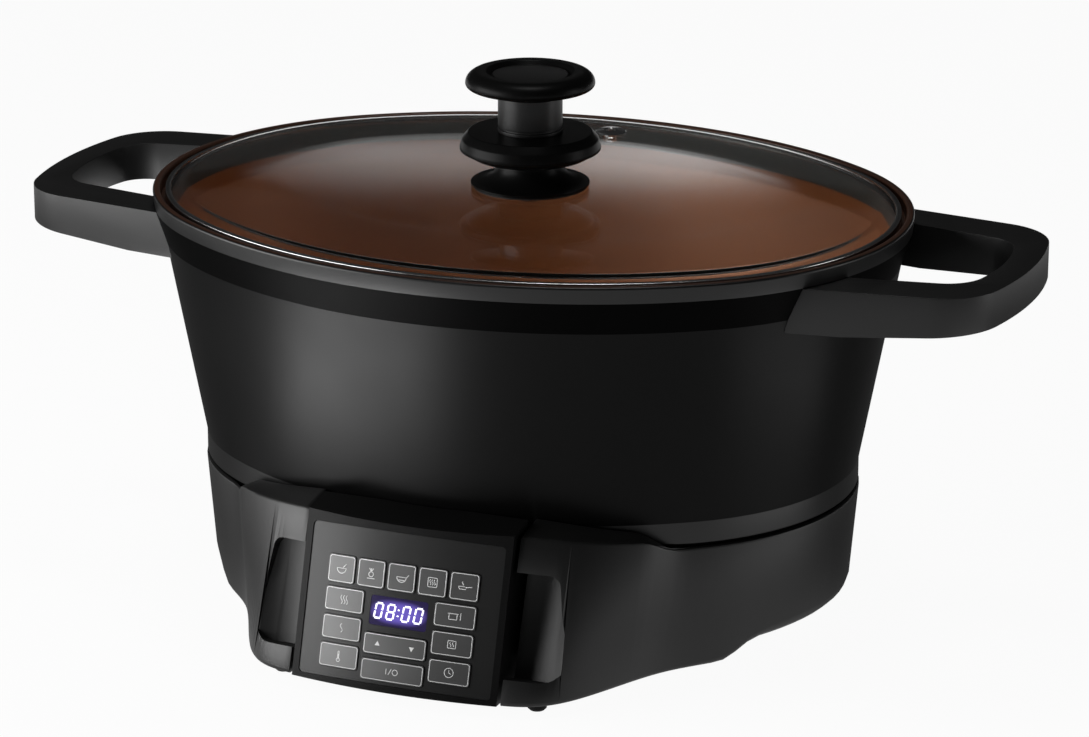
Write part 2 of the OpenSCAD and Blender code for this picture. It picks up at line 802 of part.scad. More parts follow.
module handle() {
  root_x = end_x + lip_end_r - flare_d;
  low = handle_top - handle_t;
  difference() {
    loop_block(handle_x, handle_bow, handle_corner_r, handle_corner_y, handle_root, low, handle_t);
    loop_block(
      opening_x, opening_bow, opening_corner_r, opening_corner_y, opening_root, low - 1, handle_t + 2
    );
    translate([end_x, 0, 0])
      turned([
        [0, flare_z - handle_t],
        [lip_end_r - pot_d(flare_z - handle_t) + fit_gap, flare_z - handle_t],
        [lip_end_r - flare_d + fit_gap, flare_z],
        [lip_end_r - band_in + fit_gap, band_z],
        [lip_end_r + fit_gap, lip_z],
        [0, lip_z]
      ]);
    at_lugs() lug(fit_gap);
    at_lugs()
      translate([handle_screw_r, 0, low - 1]) {
        cylinder(d = handle_screw_d + 2 * fit_gap, h = handle_t / 2);
        cylinder(d = 2 * handle_screw_d + 2 * fit_gap, h = handle_head_t + 1.8);
      }
    translate([root_x, -far / 2, low])
      rotate([0, -handle_tilt, 0])
        translate([0, 0, -far]) cube([far, far, far]);
  }
}

module right_handle() {
  placed() color(black) handle();
}

module left_handle() {
  placed() color(black) rotate([0, 0, 180]) handle();
}

module handle_screws() {
  head_z = handle_top - handle_t + 0.8;
  placed() color(steel)
    for (s = [0, 1])
      rotate([0, 0, 180 * s])
        at_lugs()
          translate([handle_screw_r, 0, head_z]) {
            cylinder(r = handle_screw_d, h = handle_head_t);
            cylinder(d = handle_screw_d, h = lug_z + lug_h - 2.5 - head_z);
          }
}

// Base

// The ring is open at the front, where the pod sits: its two ends are closed by strips of triangles
module housing_ring() {
  n = section_points;
  e = edge_steps;
  points = [for (j = [0:ring_steps]) for (i = [0:n - 1]) ring_point(i, j)];
  sides = [
    for (j = [0:ring_steps - 1]) for (i = [0:n - 1])
      let (a = j * n + i, b = j * n + (i + 1) % n)
      each [[a, b, b + n], [a, b + n, a + n]]
  ];
  edge_fan = [for (i = [0:e - 1]) [n - 1, i, i + 1]];
  wall_fan = [for (i = [e + 4:e + 6]) [i + 1, e + 1, i]];
  flange_fan = [[e + 7, e + 8, e + 9], [e + 7, e + 9, e + 10]];
  low_fan = [[n - 1, e, e + 10], [e + 10, e, e + 1], [e + 10, e + 1, e + 7]];
  top_fan = [[e + 1, e + 2, e + 4], [e + 2, e + 3, e + 4]];
  strips = concat(edge_fan, wall_fan, flange_fan, low_fan, top_fan);
  last = [for (t = strips) [for (i = t) ring_steps * n + i]];
  first = [for (t = strips) [t[2], t[1], t[0]]];
  polyhedron(points, concat(sides, first, last), convexity = 8);
}

module on_panel() {
  translate(panel_point(0, 0)) rotate([90 - panel_lean, 0, 0]) children();
}

// Finger pocket: a D-shaped mouth that opens on the pod's side, scooped round an upright axis
module finger_pocket() {
  low_r = 9;
  high_r = 5;
  high_in = 5;
  scoop_lift = 2;
  bottom = -panel_h / 2 + 13;
  top = bottom + pocket_h;
  reach = seam_x + pocket_w;
  on_panel()
    intersection() {
      translate([0, 0, -far / 2])
        linear_extrude(far)
          union() {
            polygon([
              [seam_x - 8, bottom],
              [reach - low_r, bottom],
              [reach, bottom + low_r],
              [reach - high_in, top - high_r],
              [reach - high_in - high_r, top],
              [seam_x - 8, top]
            ]);
            translate([reach - low_r, bottom + low_r]) circle(low_r - tuck);
            translate([reach - high_in - high_r, top - high_r]) circle(high_r - tuck);
          }
      translate([seam_x, 0, scoop_lift - sag(seam_x)])
        rotate([90, 0, 0]) cylinder(r = pocket_w + 2, h = 2 * panel_h, center = true);
    }
}

// Places of the screws that hold the cover to the housing's flange
module at_flange_screws() {
  for (s = [-1, 1]) {
    translate([s * (lip_a - flange_screw_d), 0, 0]) children();
    translate([0, -side_y, 0])
      rotate([0, 0, s * rear_screw_angle]) translate([0, side_r - flange_screw_d, 0]) children();
  }
}

module at_gland() {
  translate([0, -side_y, gland_z])
    rotate([0, 0, gland_angle])
      translate([0, side_r - housing_d - 0.63 * housing_taper, 0])
        rotate([-90, 0, 0]) children();
}

module base_housing() {
  placed() color(black)
    difference() {
      housing_ring();
      finger_pocket();
      mirror([1, 0, 0]) finger_pocket();
      at_flange_screws()
        translate([0, 0, cover_top - 1]) cylinder(d = cover_screw_d + 2 * fit_gap, h = flange_h, $fn = 24);
      at_gland() translate([0, 0, -20]) cylinder(d = gland_d + 2 * fit_gap, h = 40, $fn = 48);
      for (s = [-1, 1])
        translate([s * front_foot[0], front_foot[1], panel_edge_z - 1])
          cylinder(d = foot_peg_d + 2 * fit_gap, h = foot_peg_l + 1.5, $fn = 24);
    }
}

tongue_angle = atan2(pod_screw_x + 10, cover_front);
function cover_r(f) = f <= tongue_angle ? cover_front / cos(f) : inner_low_r(f) - cover_gap;

module bottom_cover() {
  steps = 96;
  placed() color(dark)
    difference() {
      union() {
        translate([0, 0, cover_z])
          linear_extrude(cover_t)
            polygon([
              for (j = [0:steps - 1])
                let (phi = 360 * j / steps, r = cover_r(front_angle(phi)))
                [r * sin(phi), -r * cos(phi)]
            ]);
        at_posts() translate([0, 0, cover_z]) cylinder(r = post_r + 1.5, h = shield_z - cover_z);
        at_power_board_screws()
          translate([0, 0, cover_z]) cylinder(r = board_boss_r, h = power_board_z - cover_z);
      }
      at_posts()
        translate([0, 0, cover_z - 1]) {
          cylinder(d = post_bore, h = shield_z);
          cylinder(d = 2 * plate_screw_d + 2 * fit_gap, h = plate_head_t + 2);
        }
      at_power_board_screws() translate([0, 0, cover_top]) cylinder(d = small_screw_d + 2 * fit_gap, h = far);
      at_flange_screws()
        translate([0, 0, cover_z - 1]) cylinder(d = cover_screw_d + 2 * fit_gap, h = cover_t + 2);
      for (p = rear_feet) for (s = [-1, 1])
        translate([s * p[0], p[1], cover_z - 1]) cylinder(d = foot_peg_d + 2 * fit_gap, h = cover_t + 2);
      for (s = [-1, 1])
        translate([s * pod_screw_x, -pod_screw_y, cover_z - 1])
          cylinder(d = cover_screw_d + 2 * fit_gap, h = cover_t + 2);
    }
}

module foot(d, h, peg) {
  turned([
    [0, 0],
    [d / 2 - 1, 0],
    [d / 2, 1],
    [d / 2, h],
    [foot_peg_d / 2, h],
    [foot_peg_d / 2, h + peg],
    [0, h + peg]
  ]);
}

module feet() {
  placed() color(dark)
    for (s = [-1, 1]) {
      translate([s * front_foot[0], front_foot[1], 0]) foot(nub_d, panel_edge_z, foot_peg_l);
      for (p = rear_feet) translate([s * p[0], p[1], 0]) foot(foot_d, cover_z, cover_t - fit_gap);
    }
}

module cover_screw(z, length) {
  translate([0, 0, z - screw_head_h]) cylinder(r = cover_screw_d, h = screw_head_h);
  translate([0, 0, z - 0.5]) cylinder(d = cover_screw_d, h = length + 0.5);
}

module cover_screws() {
  placed() color(steel) {
    at_flange_screws() cover_screw(cover_z, cover_t + flange_h - 1.5);
    for (s = [-1, 1])
      translate([s * pod_screw_x, -pod_screw_y, 0]) cover_screw(panel_edge_z, cover_top - panel_edge_z + 1);
  }
}

module cord_gland() {
  nut_z = housing_wall + 1.4;
  nut_t = 2.6;
  lip_gap = 1.2;
  gland_lip = 2.4;
  placed() color(dark)
    at_gland()
      turned([
        [gland_bore / 2, -nut_z - nut_t],
        [gland_d / 2 + gland_lip, -nut_z - nut_t],
        [gland_d / 2 + gland_lip, -nut_z],
        [gland_d / 2, -nut_z],
        [gland_d / 2, lip_gap],
        [gland_d / 2 + gland_lip, lip_gap],
        [gland_d / 2 + gland_lip, 2 * lip_gap],
        [gland_d / 2 + gland_lip - 1, 3 * lip_gap],
        [gland_bore / 2, 3 * lip_gap]
      ]);
}

// Control pod

// Prism across the part from an outline of [y, z] points
module across(width, outline) {
  rotate([90, 0, 90]) linear_extrude(width, center = true) polygon(outline);
}

module bow(r) {
  translate([0, 0, -bow_r]) rotate([90, 0, 0]) cylinder(r = r, h = 3 * panel_h, center = true, $fn = 360);
}

module rounded(w, h, r) {
  for (s = [-1, 1]) translate([s * (w / 2 - r), 0]) square([2 * r, h - 2 * r], center = true);
  square([w - 2 * r, h], center = true);
  for (x = [-1, 1]) for (y = [-1, 1]) translate([x * (w / 2 - r), y * (h / 2 - r)]) circle(r, $fn = 48);
}

// Upright prism of a rounded key outline between two depths
module block(k, grow, corner, z0, z1) {
  translate([k[0], k[1], z0]) linear_extrude(z1 - z0) rounded(k[2] + 2 * grow, k[3] + 2 * grow, corner);
}

module control_pod() {
  floor_t = 1.5;
  back = -cover_front;
  shelf_y = -(lip_b - shelf_d) + 1;
  front_y = -panel_reach - 5;
  shelf_slope = (shelf_back_z - panel_top_z) / (shelf_y + panel_top_y);
  shelf_t = 2.6;
  wall_back = back + 4;
  flange_back = -pod_screw_y + 6;
  placed() color(black)
    difference() {
      intersection() {
        union() {
          across(pod_w, [
            [front_y, panel_edge_z],
            [front_y, panel_top_z + shelf_slope * (front_y + panel_top_y)],
            [shelf_y, shelf_back_z],
            [shelf_y, shelf_back_z - shelf_t],
            [wall_back, panel_top_z - shelf_t],
            [wall_back, panel_edge_z]
          ]);
          across(2 * pod_screw_x + 20, [
            [wall_back - 1, panel_edge_z],
            [wall_back - 1, panel_edge_z + floor_t],
            [flange_back, panel_edge_z + floor_t],
            [flange_back, panel_edge_z]
          ]);
          for (s = [-1, 1])
            translate([s * pod_screw_x, -pod_screw_y, panel_edge_z])
              cylinder(r = pod_boss_r, h = cover_z - panel_edge_z);
        }
        on_panel() bow(bow_r);
      }
      intersection() {
        across(pod_w - 2 * pod_wall, [
          [-far, panel_edge_z + floor_t],
          [-far, panel_top_z - shelf_t],
          [wall_back + 1, panel_top_z - shelf_t],
          [wall_back + 1, panel_edge_z + floor_t]
        ]);
        on_panel() bow(bow_r - frame_t);
      }
      translate([0, side_y, skirt_z - 20]) cylinder(r = side_r - shelf_d, h = far, $fn = 360);
      on_panel() {
        difference() {
          block([0, 0, fascia_w, fascia_h], fit_gap, 2, -far / 8, far / 8);
          bow(bow_r - fascia_sunk - fascia_t);
        }
        block(frame_window, 0, 2, -sag(seam_x) - frame_t - 1, far / 8);
      }
      for (s = [-1, 1])
        translate([s * pod_screw_x, -pod_screw_y, 0])
          cylinder(d = cover_screw_d + 2 * fit_gap, h = cover_z + 1);
    }
  placed() color(black) board_bosses();
}

module at_board_bosses() {
  for (x = [-1, 1]) for (y = [-1, 1]) translate([x * board_boss_x, y * board_boss_y, 0]) children();
}

module board_bosses() {
  on_panel()
    difference() {
      intersection() {
        at_board_bosses() translate([0, 0, board_top]) cylinder(r = board_boss_r, h = -board_top);
        bow(bow_r - frame_t + 0.5);
      }
      at_board_bosses() translate([0, 0, board_top - 1]) cylinder(d = small_screw_d + 2 * fit_gap, h = 5);
    }
}

module fascia() {
  placed() color("#222326")
    on_panel()
      difference() {
        intersection() {
          block([0, 0, fascia_w, fascia_h], 0, 2, -far / 8, far / 8);
          bow(bow_r - fascia_sunk);
        }
        bow(under_r);
        for (k = push_keys) block(k, hole_gap, key_corner + hole_gap, -far / 8, far / 8);
        block(rocker, rocker_gap, key_corner + rocker_gap, -far / 8, far / 8);
        block([0, display_y, display_w, display_h], fit_gap, key_corner, -far / 8, far / 8);
      }
}

module display_window() {
  window = [0, display_y, display_w, display_h];
  ledge = 0.8;
  placed() color("#4b4196")
    on_panel()
      difference() {
        union() {
          intersection() {
            block(window, 0, key_corner, -far / 8, far / 8);
            bow(bow_r - fascia_sunk - fit_gap);
          }
          intersection() {
            block(window, 1, key_corner, -far / 8, far / 8);
            bow(under_r - fit_gap);
          }
        }
        bow(under_r - fit_gap - ledge);
      }
}

module display_module() {
  placed() color("#dcdce0")
    on_panel()
      difference() {
        block([0, display_y, display_w - 1, display_h - 1], 0, 0.5, board_top, -far / 400);
        difference() {
          block([0, display_y, far, far / 2], 0, 1, board_top, far);
          bow(under_r - 1.3);
        }
      }
}

module control_board() {
  header = [14, 5, 6];
  placed() color("#2f6b45")
    on_panel() {
      difference() {
        translate([-board_half_w, board_y0, board_top - board_t])
          cube([2 * board_half_w, board_y1 - board_y0, board_t]);
        at_board_bosses()
          translate([0, 0, board_top - 2 * board_t])
            cylinder(d = small_screw_d + 2 * fit_gap, h = 3 * board_t);
      }
      translate([-header[0] / 2, board_y0 + 2, board_top - board_t - header[2]])
        cube([header[0], header[1], header[2] + 0.5]);
    }
}

module key_switches() {
  placed() color(dark)
    on_panel()
      for (p = concat([for (k = push_keys) [k[0], k[1]]], [for (s = [-1, 1]) [s * rocker_stem_x, rocker_y]]))
        translate([p[0], p[1], board_top])
          difference() {
            translate([-switch_w / 2, -switch_w / 2, 0]) cube([switch_w, switch_w, switch_h]);
            translate([0, 0, bore_low - board_top]) cylinder(d = stem_pin_d + 2 * run_gap, h = switch_h);
          }
}

module board_screws() {
  head_t = 1.6;
  placed() color(steel) {
    on_panel()
      at_board_bosses() {
        translate([0, 0, board_top - board_t - head_t]) cylinder(r = small_screw_d, h = head_t);
        translate([0, 0, board_top - board_t - 0.5]) cylinder(d = small_screw_d, h = board_t + 4);
      }
    at_power_board_screws()
      translate([0, 0, power_board_z + board_t]) {
        cylinder(r = small_screw_d, h = head_t);
        translate([0, 0, -board_t - 3]) cylinder(d = small_screw_d, h = board_t + 3.5);
      }
  }
}

// Rocker: a wide key on a pivot pin held by a bracket on the board

module rocker_bracket() {
  width = 2 * hub_r + 2;
  placed() color(dark)
    on_panel()
      translate([0, rocker_y, 0])
        difference() {
          for (s = [-1, 1])
            translate([-width / 2, s * (hub_l / 2 + run_gap + lug_t / 2) - lug_t / 2, board_top])
              cube([width, lug_t, pivot_z - board_top + hub_r - 0.4]);
          translate([0, 0, pivot_z])
            rotate([90, 0, 0]) cylinder(d = pivot_d + 2 * fit_gap, h = far / 8, center = true);
        }
}

module rocker_pin() {
  placed() color(steel)
    on_panel()
      translate([0, rocker_y, pivot_z])
        rotate([90, 0, 0]) cylinder(d = pivot_d, h = hub_l + 2 * (run_gap + lug_t), center = true);
}

module adjust_rocker() {
  cap_low = pivot_z + hub_r + 0.3;
  placed() color("#33343a")
    on_panel()
      difference() {
        union() {
          intersection() {
            block(rocker, 0, key_corner, cap_low, far / 8);
            bow(key_top_r);
          }
          translate([0, rocker_y, pivot_z]) rotate([90, 0, 0]) cylinder(r = hub_r, h = hub_l, center = true);
          translate([-hub_r, rocker_y - hub_l / 2, pivot_z]) cube([2 * hub_r, hub_l, hub_r + 0.8]);
          for (s = [-1, 1])
            translate([s * rocker_stem_x, rocker_y, switch_top + rocker_rest])
              cylinder(d = stem_pin_d, h = cap_low - switch_top);
        }
        translate([0, rocker_y, pivot_z])
          rotate([90, 0, 0]) cylinder(d = pivot_d + 2 * run_gap, h = far / 8, center = true);
      }
}

module push_key(k) {
  low = -(fascia_sunk + fascia_t + hole_gap + flange_t) - sag(abs(k[0]) + k[2] / 2 + flange_w);
  placed() color("#33343a")
    on_panel()
      union() {
        intersection() {
          block(k, 0, key_corner, low, far / 8);
          bow(key_top_r);
        }
        intersection() {
          block(k, flange_w, key_corner + flange_w, low, far / 8);
          bow(under_r - hole_gap);
        }
        translate([k[0], k[1], key_stem_end]) cylinder(d = stem_pin_d, h = low - key_stem_end + 0.5);
      }
}

module ribbon_cable() {
  t = 1;
  w = 12;
  bend = 4;
  foot_l = 8;
  start = power_board_y - power_board[1] / 2;
  tail = panel_point(board_y0 + 4.5, board_top - board_t - 6);
  lift = power_board_z + board_t + 1;
  placed() color("#9a9aa0")
    across(w, [
      [tail[1] + 0.2, tail[2] - t / 2],
      [tail[1] + 0.2, tail[2] + t / 2],
      [start - bend, lift + t],
      [start + foot_l - 2, lift + t],
      [start + foot_l, power_board_z + board_t],
      [start + foot_l - 2, power_board_z + board_t],
      [start + foot_l - 3.5, lift],
      [start - bend, lift]
    ]);
}

// Heater

module at_posts() {
  for (x = [-post_x, post_x]) for (y = [-post_y, post_y]) translate([x, y, 0]) children();
}

module heating_plate() {
  placed() color(alloy)
    difference() {
      oval_body([[plate_d, plate_z], [plate_d, plate_low]]);
      translate([0, 0, plate_low - 1]) cylinder(r = guide_r + 1, h = plate_t + 2);
      at_posts()
        translate([0, 0, plate_low - 1]) cylinder(d = plate_screw_d + 2 * fit_gap, h = plate_thread + 1.2);
    }
}

module heating_element() {
  drop = terminal_drop + element_d / 2;
  placed() color("#6d6a66") {
    difference() {
      translate([0, 0, element_z]) rotate_extrude() translate([element_r, 0]) circle(d = element_d);
      translate([-element_gap, 0, 0]) cube([2 * element_gap, far, far]);
    }
    at_terminals() translate([0, 0, element_z - drop]) cylinder(d = element_d - 1.5, h = drop);
  }
}

// Ends of the element's tube, at the back
module at_terminals() {
  x = element_gap + element_d / 2;
  for (s = [-1, 1]) translate([s * x, sqrt(element_r ^ 2 - x ^ 2), 0]) children();
}

module heat_shield() {
  inner_d = shield_wall_d + shield_t;
  edge_d = rim_d + 0.85;
  placed() color(alloy)
    difference() {
      oval_body([
        [inner_d, shield_z + shield_t],
        [inner_d, shield_rim_z],
        [edge_d, shield_rim_z],
        [edge_d, shield_rim_z - shield_t],
        [shield_wall_d, shield_rim_z - shield_t],
        [shield_wall_d, shield_z]
      ]);
      at_posts() translate([0, 0, shield_z - 1]) cylinder(d = post_bore, h = shield_t + 2);
      at_terminals() translate([0, 0, shield_z - 1]) cylinder(d = element_d + 2, h = shield_t + 2);
    }
}

module plate_posts() {
  placed() color(steel) at_posts() ring(post_r, post_bore / 2, shield_z + shield_t, plate_low);
}

module plate_screws() {
  head_z = cover_z + 1;
  placed() color(steel)
    at_posts() {
      translate([0, 0, head_z]) cylinder(r = plate_screw_d, h = plate_head_t);
      translate([0, 0, head_z]) cylinder(d = plate_screw_d, h = plate_low + plate_thread - head_z);
    }
}

module sensor_guide() {
  placed() color(steel)
    difference() {
      translate([0, 0, shield_z + shield_t]) cylinder(r = guide_r, h = guide_top - shield_z - shield_t);
      translate([0, 0, shield_z + shield_t + 1]) cylinder(r = guide_r - guide_wall, h = far);
    }
}

module sensor_spring() {
  placed() color(steel) ring(spring_r, spring_r - 1.2, shield_z + shield_t + 1, sensor_top - 2);
}

module sensor_cap() {
  placed() color(alloy)
    turned([
      [0, sensor_top - 2 + fit_gap],
      [sensor_d / 2 - sensor_wall, sensor_top - 2 + fit_gap],
      [sensor_d / 2 - sensor_wall, sensor_low],
      [sensor_d / 2, sensor_low],
      [sensor_d / 2, sensor_top - 0.8],
      [sensor_d / 2 - 0.8, sensor_top],
      [0, sensor_top]
    ]);
}

module thermal_fuse() {
  r = 2.5;
  placed() color("#d8d4c8")
    translate([-12, 45, plate_low - r - fit_gap]) rotate([0, 90, 0]) cylinder(r = r, h = 24);
}

// Power electronics on the cover

module at_power_board_screws() {
  for (x = [-1, 1]) for (y = [-1, 1])
    translate([
      x * (power_board[0] / 2 - power_screw_in),
      power_board_y + y * (power_board[1] / 2 - power_screw_in),
      0
    ])
      children();
}

module power_board() {
  placed() color("#2f6b45")
    difference() {
      translate([-power_board[0] / 2, power_board_y - power_board[1] / 2, power_board_z])
        cube([power_board[0], power_board[1], board_t]);
      at_power_board_screws()
        translate([0, 0, power_board_z - 1]) cylinder(d = small_screw_d + 2 * fit_gap, h = board_t + 2);
    }
}

module relay() {
  placed() color("#2b4f9e")
    translate([relay_place[0], power_board_y + relay_place[1], power_board_z + board_t])
      cube([relay_size[0], relay_size[1], shield_z - power_board_z - board_t - 1.5]);
}

module terminal_block() {
  pitch = 8;
  h = 11;
  placed() color("#e8e6df")
    difference() {
      translate([-38, 58, cover_top]) cube([3 * pitch, 14, h]);
      for (i = [0:2])
        translate([-38 + pitch * (i + 0.5), 57, cover_top + 5])
          rotate([-90, 0, 0]) cylinder(d = 4, h = 16);
    }
}

lid_glass();
lid_rim();
vent_eyelet();
knob_gasket();
knob_foot();
knob_collar();
knob_stem();
knob_grip();
knob_cap();
knob_washer();
knob_screw();
pot_shell();
left_handle();
right_handle();
handle_screws();
base_housing();
bottom_cover();
feet();
cover_screws();
cord_gland();
control_pod();
fascia();
display_window();
display_module();
control_board();
key_switches();
board_screws();
rocker_bracket();
rocker_pin();
ribbon_cable();
heating_plate();
heating_element();
heat_shield();
plate_posts();
plate_screws();
sensor_guide();
sensor_spring();
sensor_cap();
thermal_fuse();
power_board();
relay();
terminal_block();
push_key(mode_keys[0]);  // mode_key_1
push_key(mode_keys[1]);  // mode_key_2
push_key(mode_keys[2]);  // mode_key_3
push_key(mode_keys[3]);  // mode_key_4
push_key(mode_keys[4]);  // mode_key_5
push_key(left_keys[0]);  // left_key_1
push_key(left_keys[1]);  // left_key_2
push_key(left_keys[2]);  // left_key_3
push_key(right_keys[0]);  // right_key_1
push_key(right_keys[1]);  // right_key_2
push_key(right_keys[2]);  // right_key_3
push_key(power);  // power_key
adjust_rocker();
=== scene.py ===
# %% [markdown]
# # Oval multicooker
# The CAD model holds every part at its true size. This lesson dresses it: it sets up
# the studio, writes the finishes, and models the visible parts again with the rounded
# edges and smooth walls that a moulded or cast part has.

# %% Load the CAD frame
import math

import bpy
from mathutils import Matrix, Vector


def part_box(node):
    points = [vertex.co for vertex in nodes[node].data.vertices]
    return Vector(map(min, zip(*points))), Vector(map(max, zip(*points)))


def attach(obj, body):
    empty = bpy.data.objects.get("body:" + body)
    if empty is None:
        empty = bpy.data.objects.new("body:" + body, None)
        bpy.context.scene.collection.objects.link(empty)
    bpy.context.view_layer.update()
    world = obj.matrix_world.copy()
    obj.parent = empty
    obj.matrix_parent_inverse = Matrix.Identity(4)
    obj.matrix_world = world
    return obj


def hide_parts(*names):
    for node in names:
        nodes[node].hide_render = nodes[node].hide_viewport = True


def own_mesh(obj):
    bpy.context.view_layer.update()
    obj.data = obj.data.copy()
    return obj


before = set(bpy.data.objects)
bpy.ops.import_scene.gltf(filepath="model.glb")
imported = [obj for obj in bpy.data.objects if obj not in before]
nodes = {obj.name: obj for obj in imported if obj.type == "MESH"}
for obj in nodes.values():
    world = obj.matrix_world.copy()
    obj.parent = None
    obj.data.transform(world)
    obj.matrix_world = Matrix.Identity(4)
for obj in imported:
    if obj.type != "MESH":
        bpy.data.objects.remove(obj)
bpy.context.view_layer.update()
mm = 0.001
pot_y = 9.25
panel_mid = Vector((0, -138.529, 40.227))
panel_up = Vector((0, 0.282341, 0.959314))
panel_out = Vector((0, -0.959314, 0.282341))
window_y = -1.37

# %% [markdown]
# ## Camera
# A camera is fixed by where it stands, what it looks at and its lens. This one stands
# two metres off, to the right of the front and a little above, with a long lens, so the
# oval lid is seen as a flat ellipse. A small shift centres the cooker in the frame.

# %% Camera
azimuth = 0.393
elevation = 0.319
stand_off = 2.063
aim = Vector((0, pot_y * mm, 0.0957))
away = Vector((
    math.sin(azimuth) * math.cos(elevation),
    -math.cos(azimuth) * math.cos(elevation),
    math.sin(elevation),
))
bpy.ops.object.select_all(action="DESELECT")
bpy.ops.object.camera_add(location=aim + stand_off * away)
camera = bpy.context.active_object
camera.rotation_euler = away.to_track_quat("Z", "Y").to_euler()
camera.data.lens = 150.5
camera.data.sensor_width = 36
camera.data.shift_x = 0.0131
camera.data.shift_y = 0.0174
bpy.context.scene.camera = camera
bpy.context.scene.view_settings.view_transform = "Standard"
print("camera at", camera.location[:])

# %% [markdown]
# ## Floor
# The floor is a plain white sheet. A diffuse floor alone would go grey, so what the
# camera sees of it is mostly its own light, and the rest is diffuse and keeps the soft
# shadow under the cooker. Photographers lay a dark cloth close to a black object to keep
# its edges dark: here mirrors see the sheet dark round the cooker, paler in front of it,
# and white far off.

# %% Floor


def link(tree, source, target):
    """Joins two sockets of a node tree."""
    tree.links.new(source, target)


def maths(tree, operation, first, second):
    """A Math node on two sockets or numbers. Gives its output."""
    node = tree.nodes.new("ShaderNodeMath")
    node.operation = operation
    for slot, value in enumerate((first, second)):
        if isinstance(value, (int, float)):
            node.inputs[slot].default_value = value
        else:
            link(tree, value, node.inputs[slot])
    return node.outputs[0]


def ramp(tree, value, low, high, start, stop):
    """A smooth step of a socket between two values. Gives its output."""
    node = tree.nodes.new("ShaderNodeMapRange")
    node.interpolation_type = "SMOOTHSTEP"
    link(tree, value, node.inputs["Value"])
    limits = {"From Min": low, "From Max": high, "To Min": start, "To Max": stop}
    for label, number in limits.items():
        node.inputs[label].default_value = number
    return node.outputs["Result"]


white_sheet = bpy.data.materials.new("white_sheet")
white_sheet.use_nodes = True
tree = white_sheet.node_tree
tree.nodes.clear()
path = tree.nodes.new("ShaderNodeLightPath")
glossy, through = path.outputs["Is Glossy Ray"], path.outputs["Is Transmission Ray"]
seen = maths(tree, "MAXIMUM", path.outputs["Is Camera Ray"], through)
mirrored = maths(tree, "MAXIMUM", maths(tree, "SUBTRACT", glossy, through), 0)
share = maths(tree, "MAXIMUM", maths(tree, "MULTIPLY", seen, 0.95), mirrored)
place = tree.nodes.new("ShaderNodeTexCoord")
reach = tree.nodes.new("ShaderNodeVectorMath")
reach.operation = "LENGTH"
link(tree, place.outputs["Object"], reach.inputs[0])
axes = tree.nodes.new("ShaderNodeSeparateXYZ")
link(tree, place.outputs["Object"], axes.inputs[0])
far = ramp(tree, reach.outputs["Value"], 0.6, 1.4, 0.1, 1.0)
lean = maths(tree, "MULTIPLY", axes.outputs["X"], 0.25)
slant = maths(tree, "SUBTRACT", axes.outputs["Y"], lean)
front = ramp(tree, slant, -0.12, 0.04, 0.65, 0.1)
cloth = maths(tree, "MAXIMUM", far, front)
level = tree.nodes.new("ShaderNodeMix")
link(tree, mirrored, level.inputs["Factor"])
level.inputs["A"].default_value = 1.0
link(tree, cloth, level.inputs["B"])
matt = tree.nodes.new("ShaderNodeBsdfDiffuse")
matt.inputs["Color"].default_value = (0.9, 0.9, 0.9, 1)
glow = tree.nodes.new("ShaderNodeEmission")
link(tree, level.outputs["Result"], glow.inputs["Strength"])
mix = tree.nodes.new("ShaderNodeMixShader")
out = tree.nodes.new("ShaderNodeOutputMaterial")
link(tree, share, mix.inputs[0])
link(tree, matt.outputs[0], mix.inputs[1])
link(tree, glow.outputs[0], mix.inputs[2])
link(tree, mix.outputs[0], out.inputs["Surface"])

bpy.ops.object.select_all(action="DESELECT")
bpy.ops.mesh.primitive_plane_add(size=14)
floor = bpy.context.active_object
floor.name = "floor"
floor.data.materials.append(white_sheet)
print("floor", floor.dimensions[:])

# %% [markdown]
# ## Lamps
# Black satin shows mostly what it mirrors. One tall soft box on the left draws the long
# pale gradient down the wall and the panel, a weaker one on the right lifts the far
# edge, and a top box lights the pot's floor through the glass. Three small lamps lie on
# the floor like bounce cards and lift the lower walls. The world is white to the camera
# and almost black to everything else.

# %% Lamps


def soft_box(name, turn, height, distance, size, power):
    """A rectangular lamp at an angle from the front, aimed at the cooker."""
    spot = Vector((math.sin(turn), -math.cos(turn), 0)) * distance + Vector((0, 0, height))
    bpy.ops.object.light_add(type="AREA", location=spot)
    lamp = bpy.context.active_object
    lamp.name = name
    lamp.rotation_euler = (spot - aim).to_track_quat("Z", "Y").to_euler()
    lamp.data.shape = "RECTANGLE"
    lamp.data.size = size[0]
    lamp.data.size_y = size[1]
    lamp.data.energy = power
    lamp.visible_camera = False
    return lamp


soft_box("left_box", math.radians(-56), 0.42, 1.25, (1.2, 0.7), 16)
soft_box("right_box", math.radians(105), 0.4, 1.5, (0.4, 0.8), 3)
soft_box("top_box", math.radians(0), 1.7, 0.0, (0.5, 0.4), 5)
card_z = 0.003
cards = (
    ("front_card", -33, 0.316, (0.24, 0.12), -35, 1.3),
    ("right_card", 84, 0.36, (0.1, 0.24), -6, 0.13),
    ("back_card", 203, 0.33, (0.2, 0.12), 23, 0.5),
)
for name, turn, distance, size, slant, power in cards:
    card = soft_box(name, math.radians(turn), card_z, distance, size, power)
    card.rotation_euler = (math.pi, 0, math.radians(slant))

world = bpy.data.worlds.new("studio")
bpy.context.scene.world = world
world.use_nodes = True
tree = world.node_tree
path = tree.nodes.new("ShaderNodeLightPath")
sky = ramp(tree, path.outputs["Is Camera Ray"], 0, 1, 0.02, 1)
link(tree, sky, tree.nodes["Background"].inputs["Color"])

# %% [markdown]
# ## Strip behind the lid
# The glass lid mirrors what hangs behind the cooker, low over the table. A narrow pale
# strip there, with a crisp lower edge and a soft upper one, draws the bright band across
# the glass. It is stronger on the right and fades at both ends. Only mirrors see it.

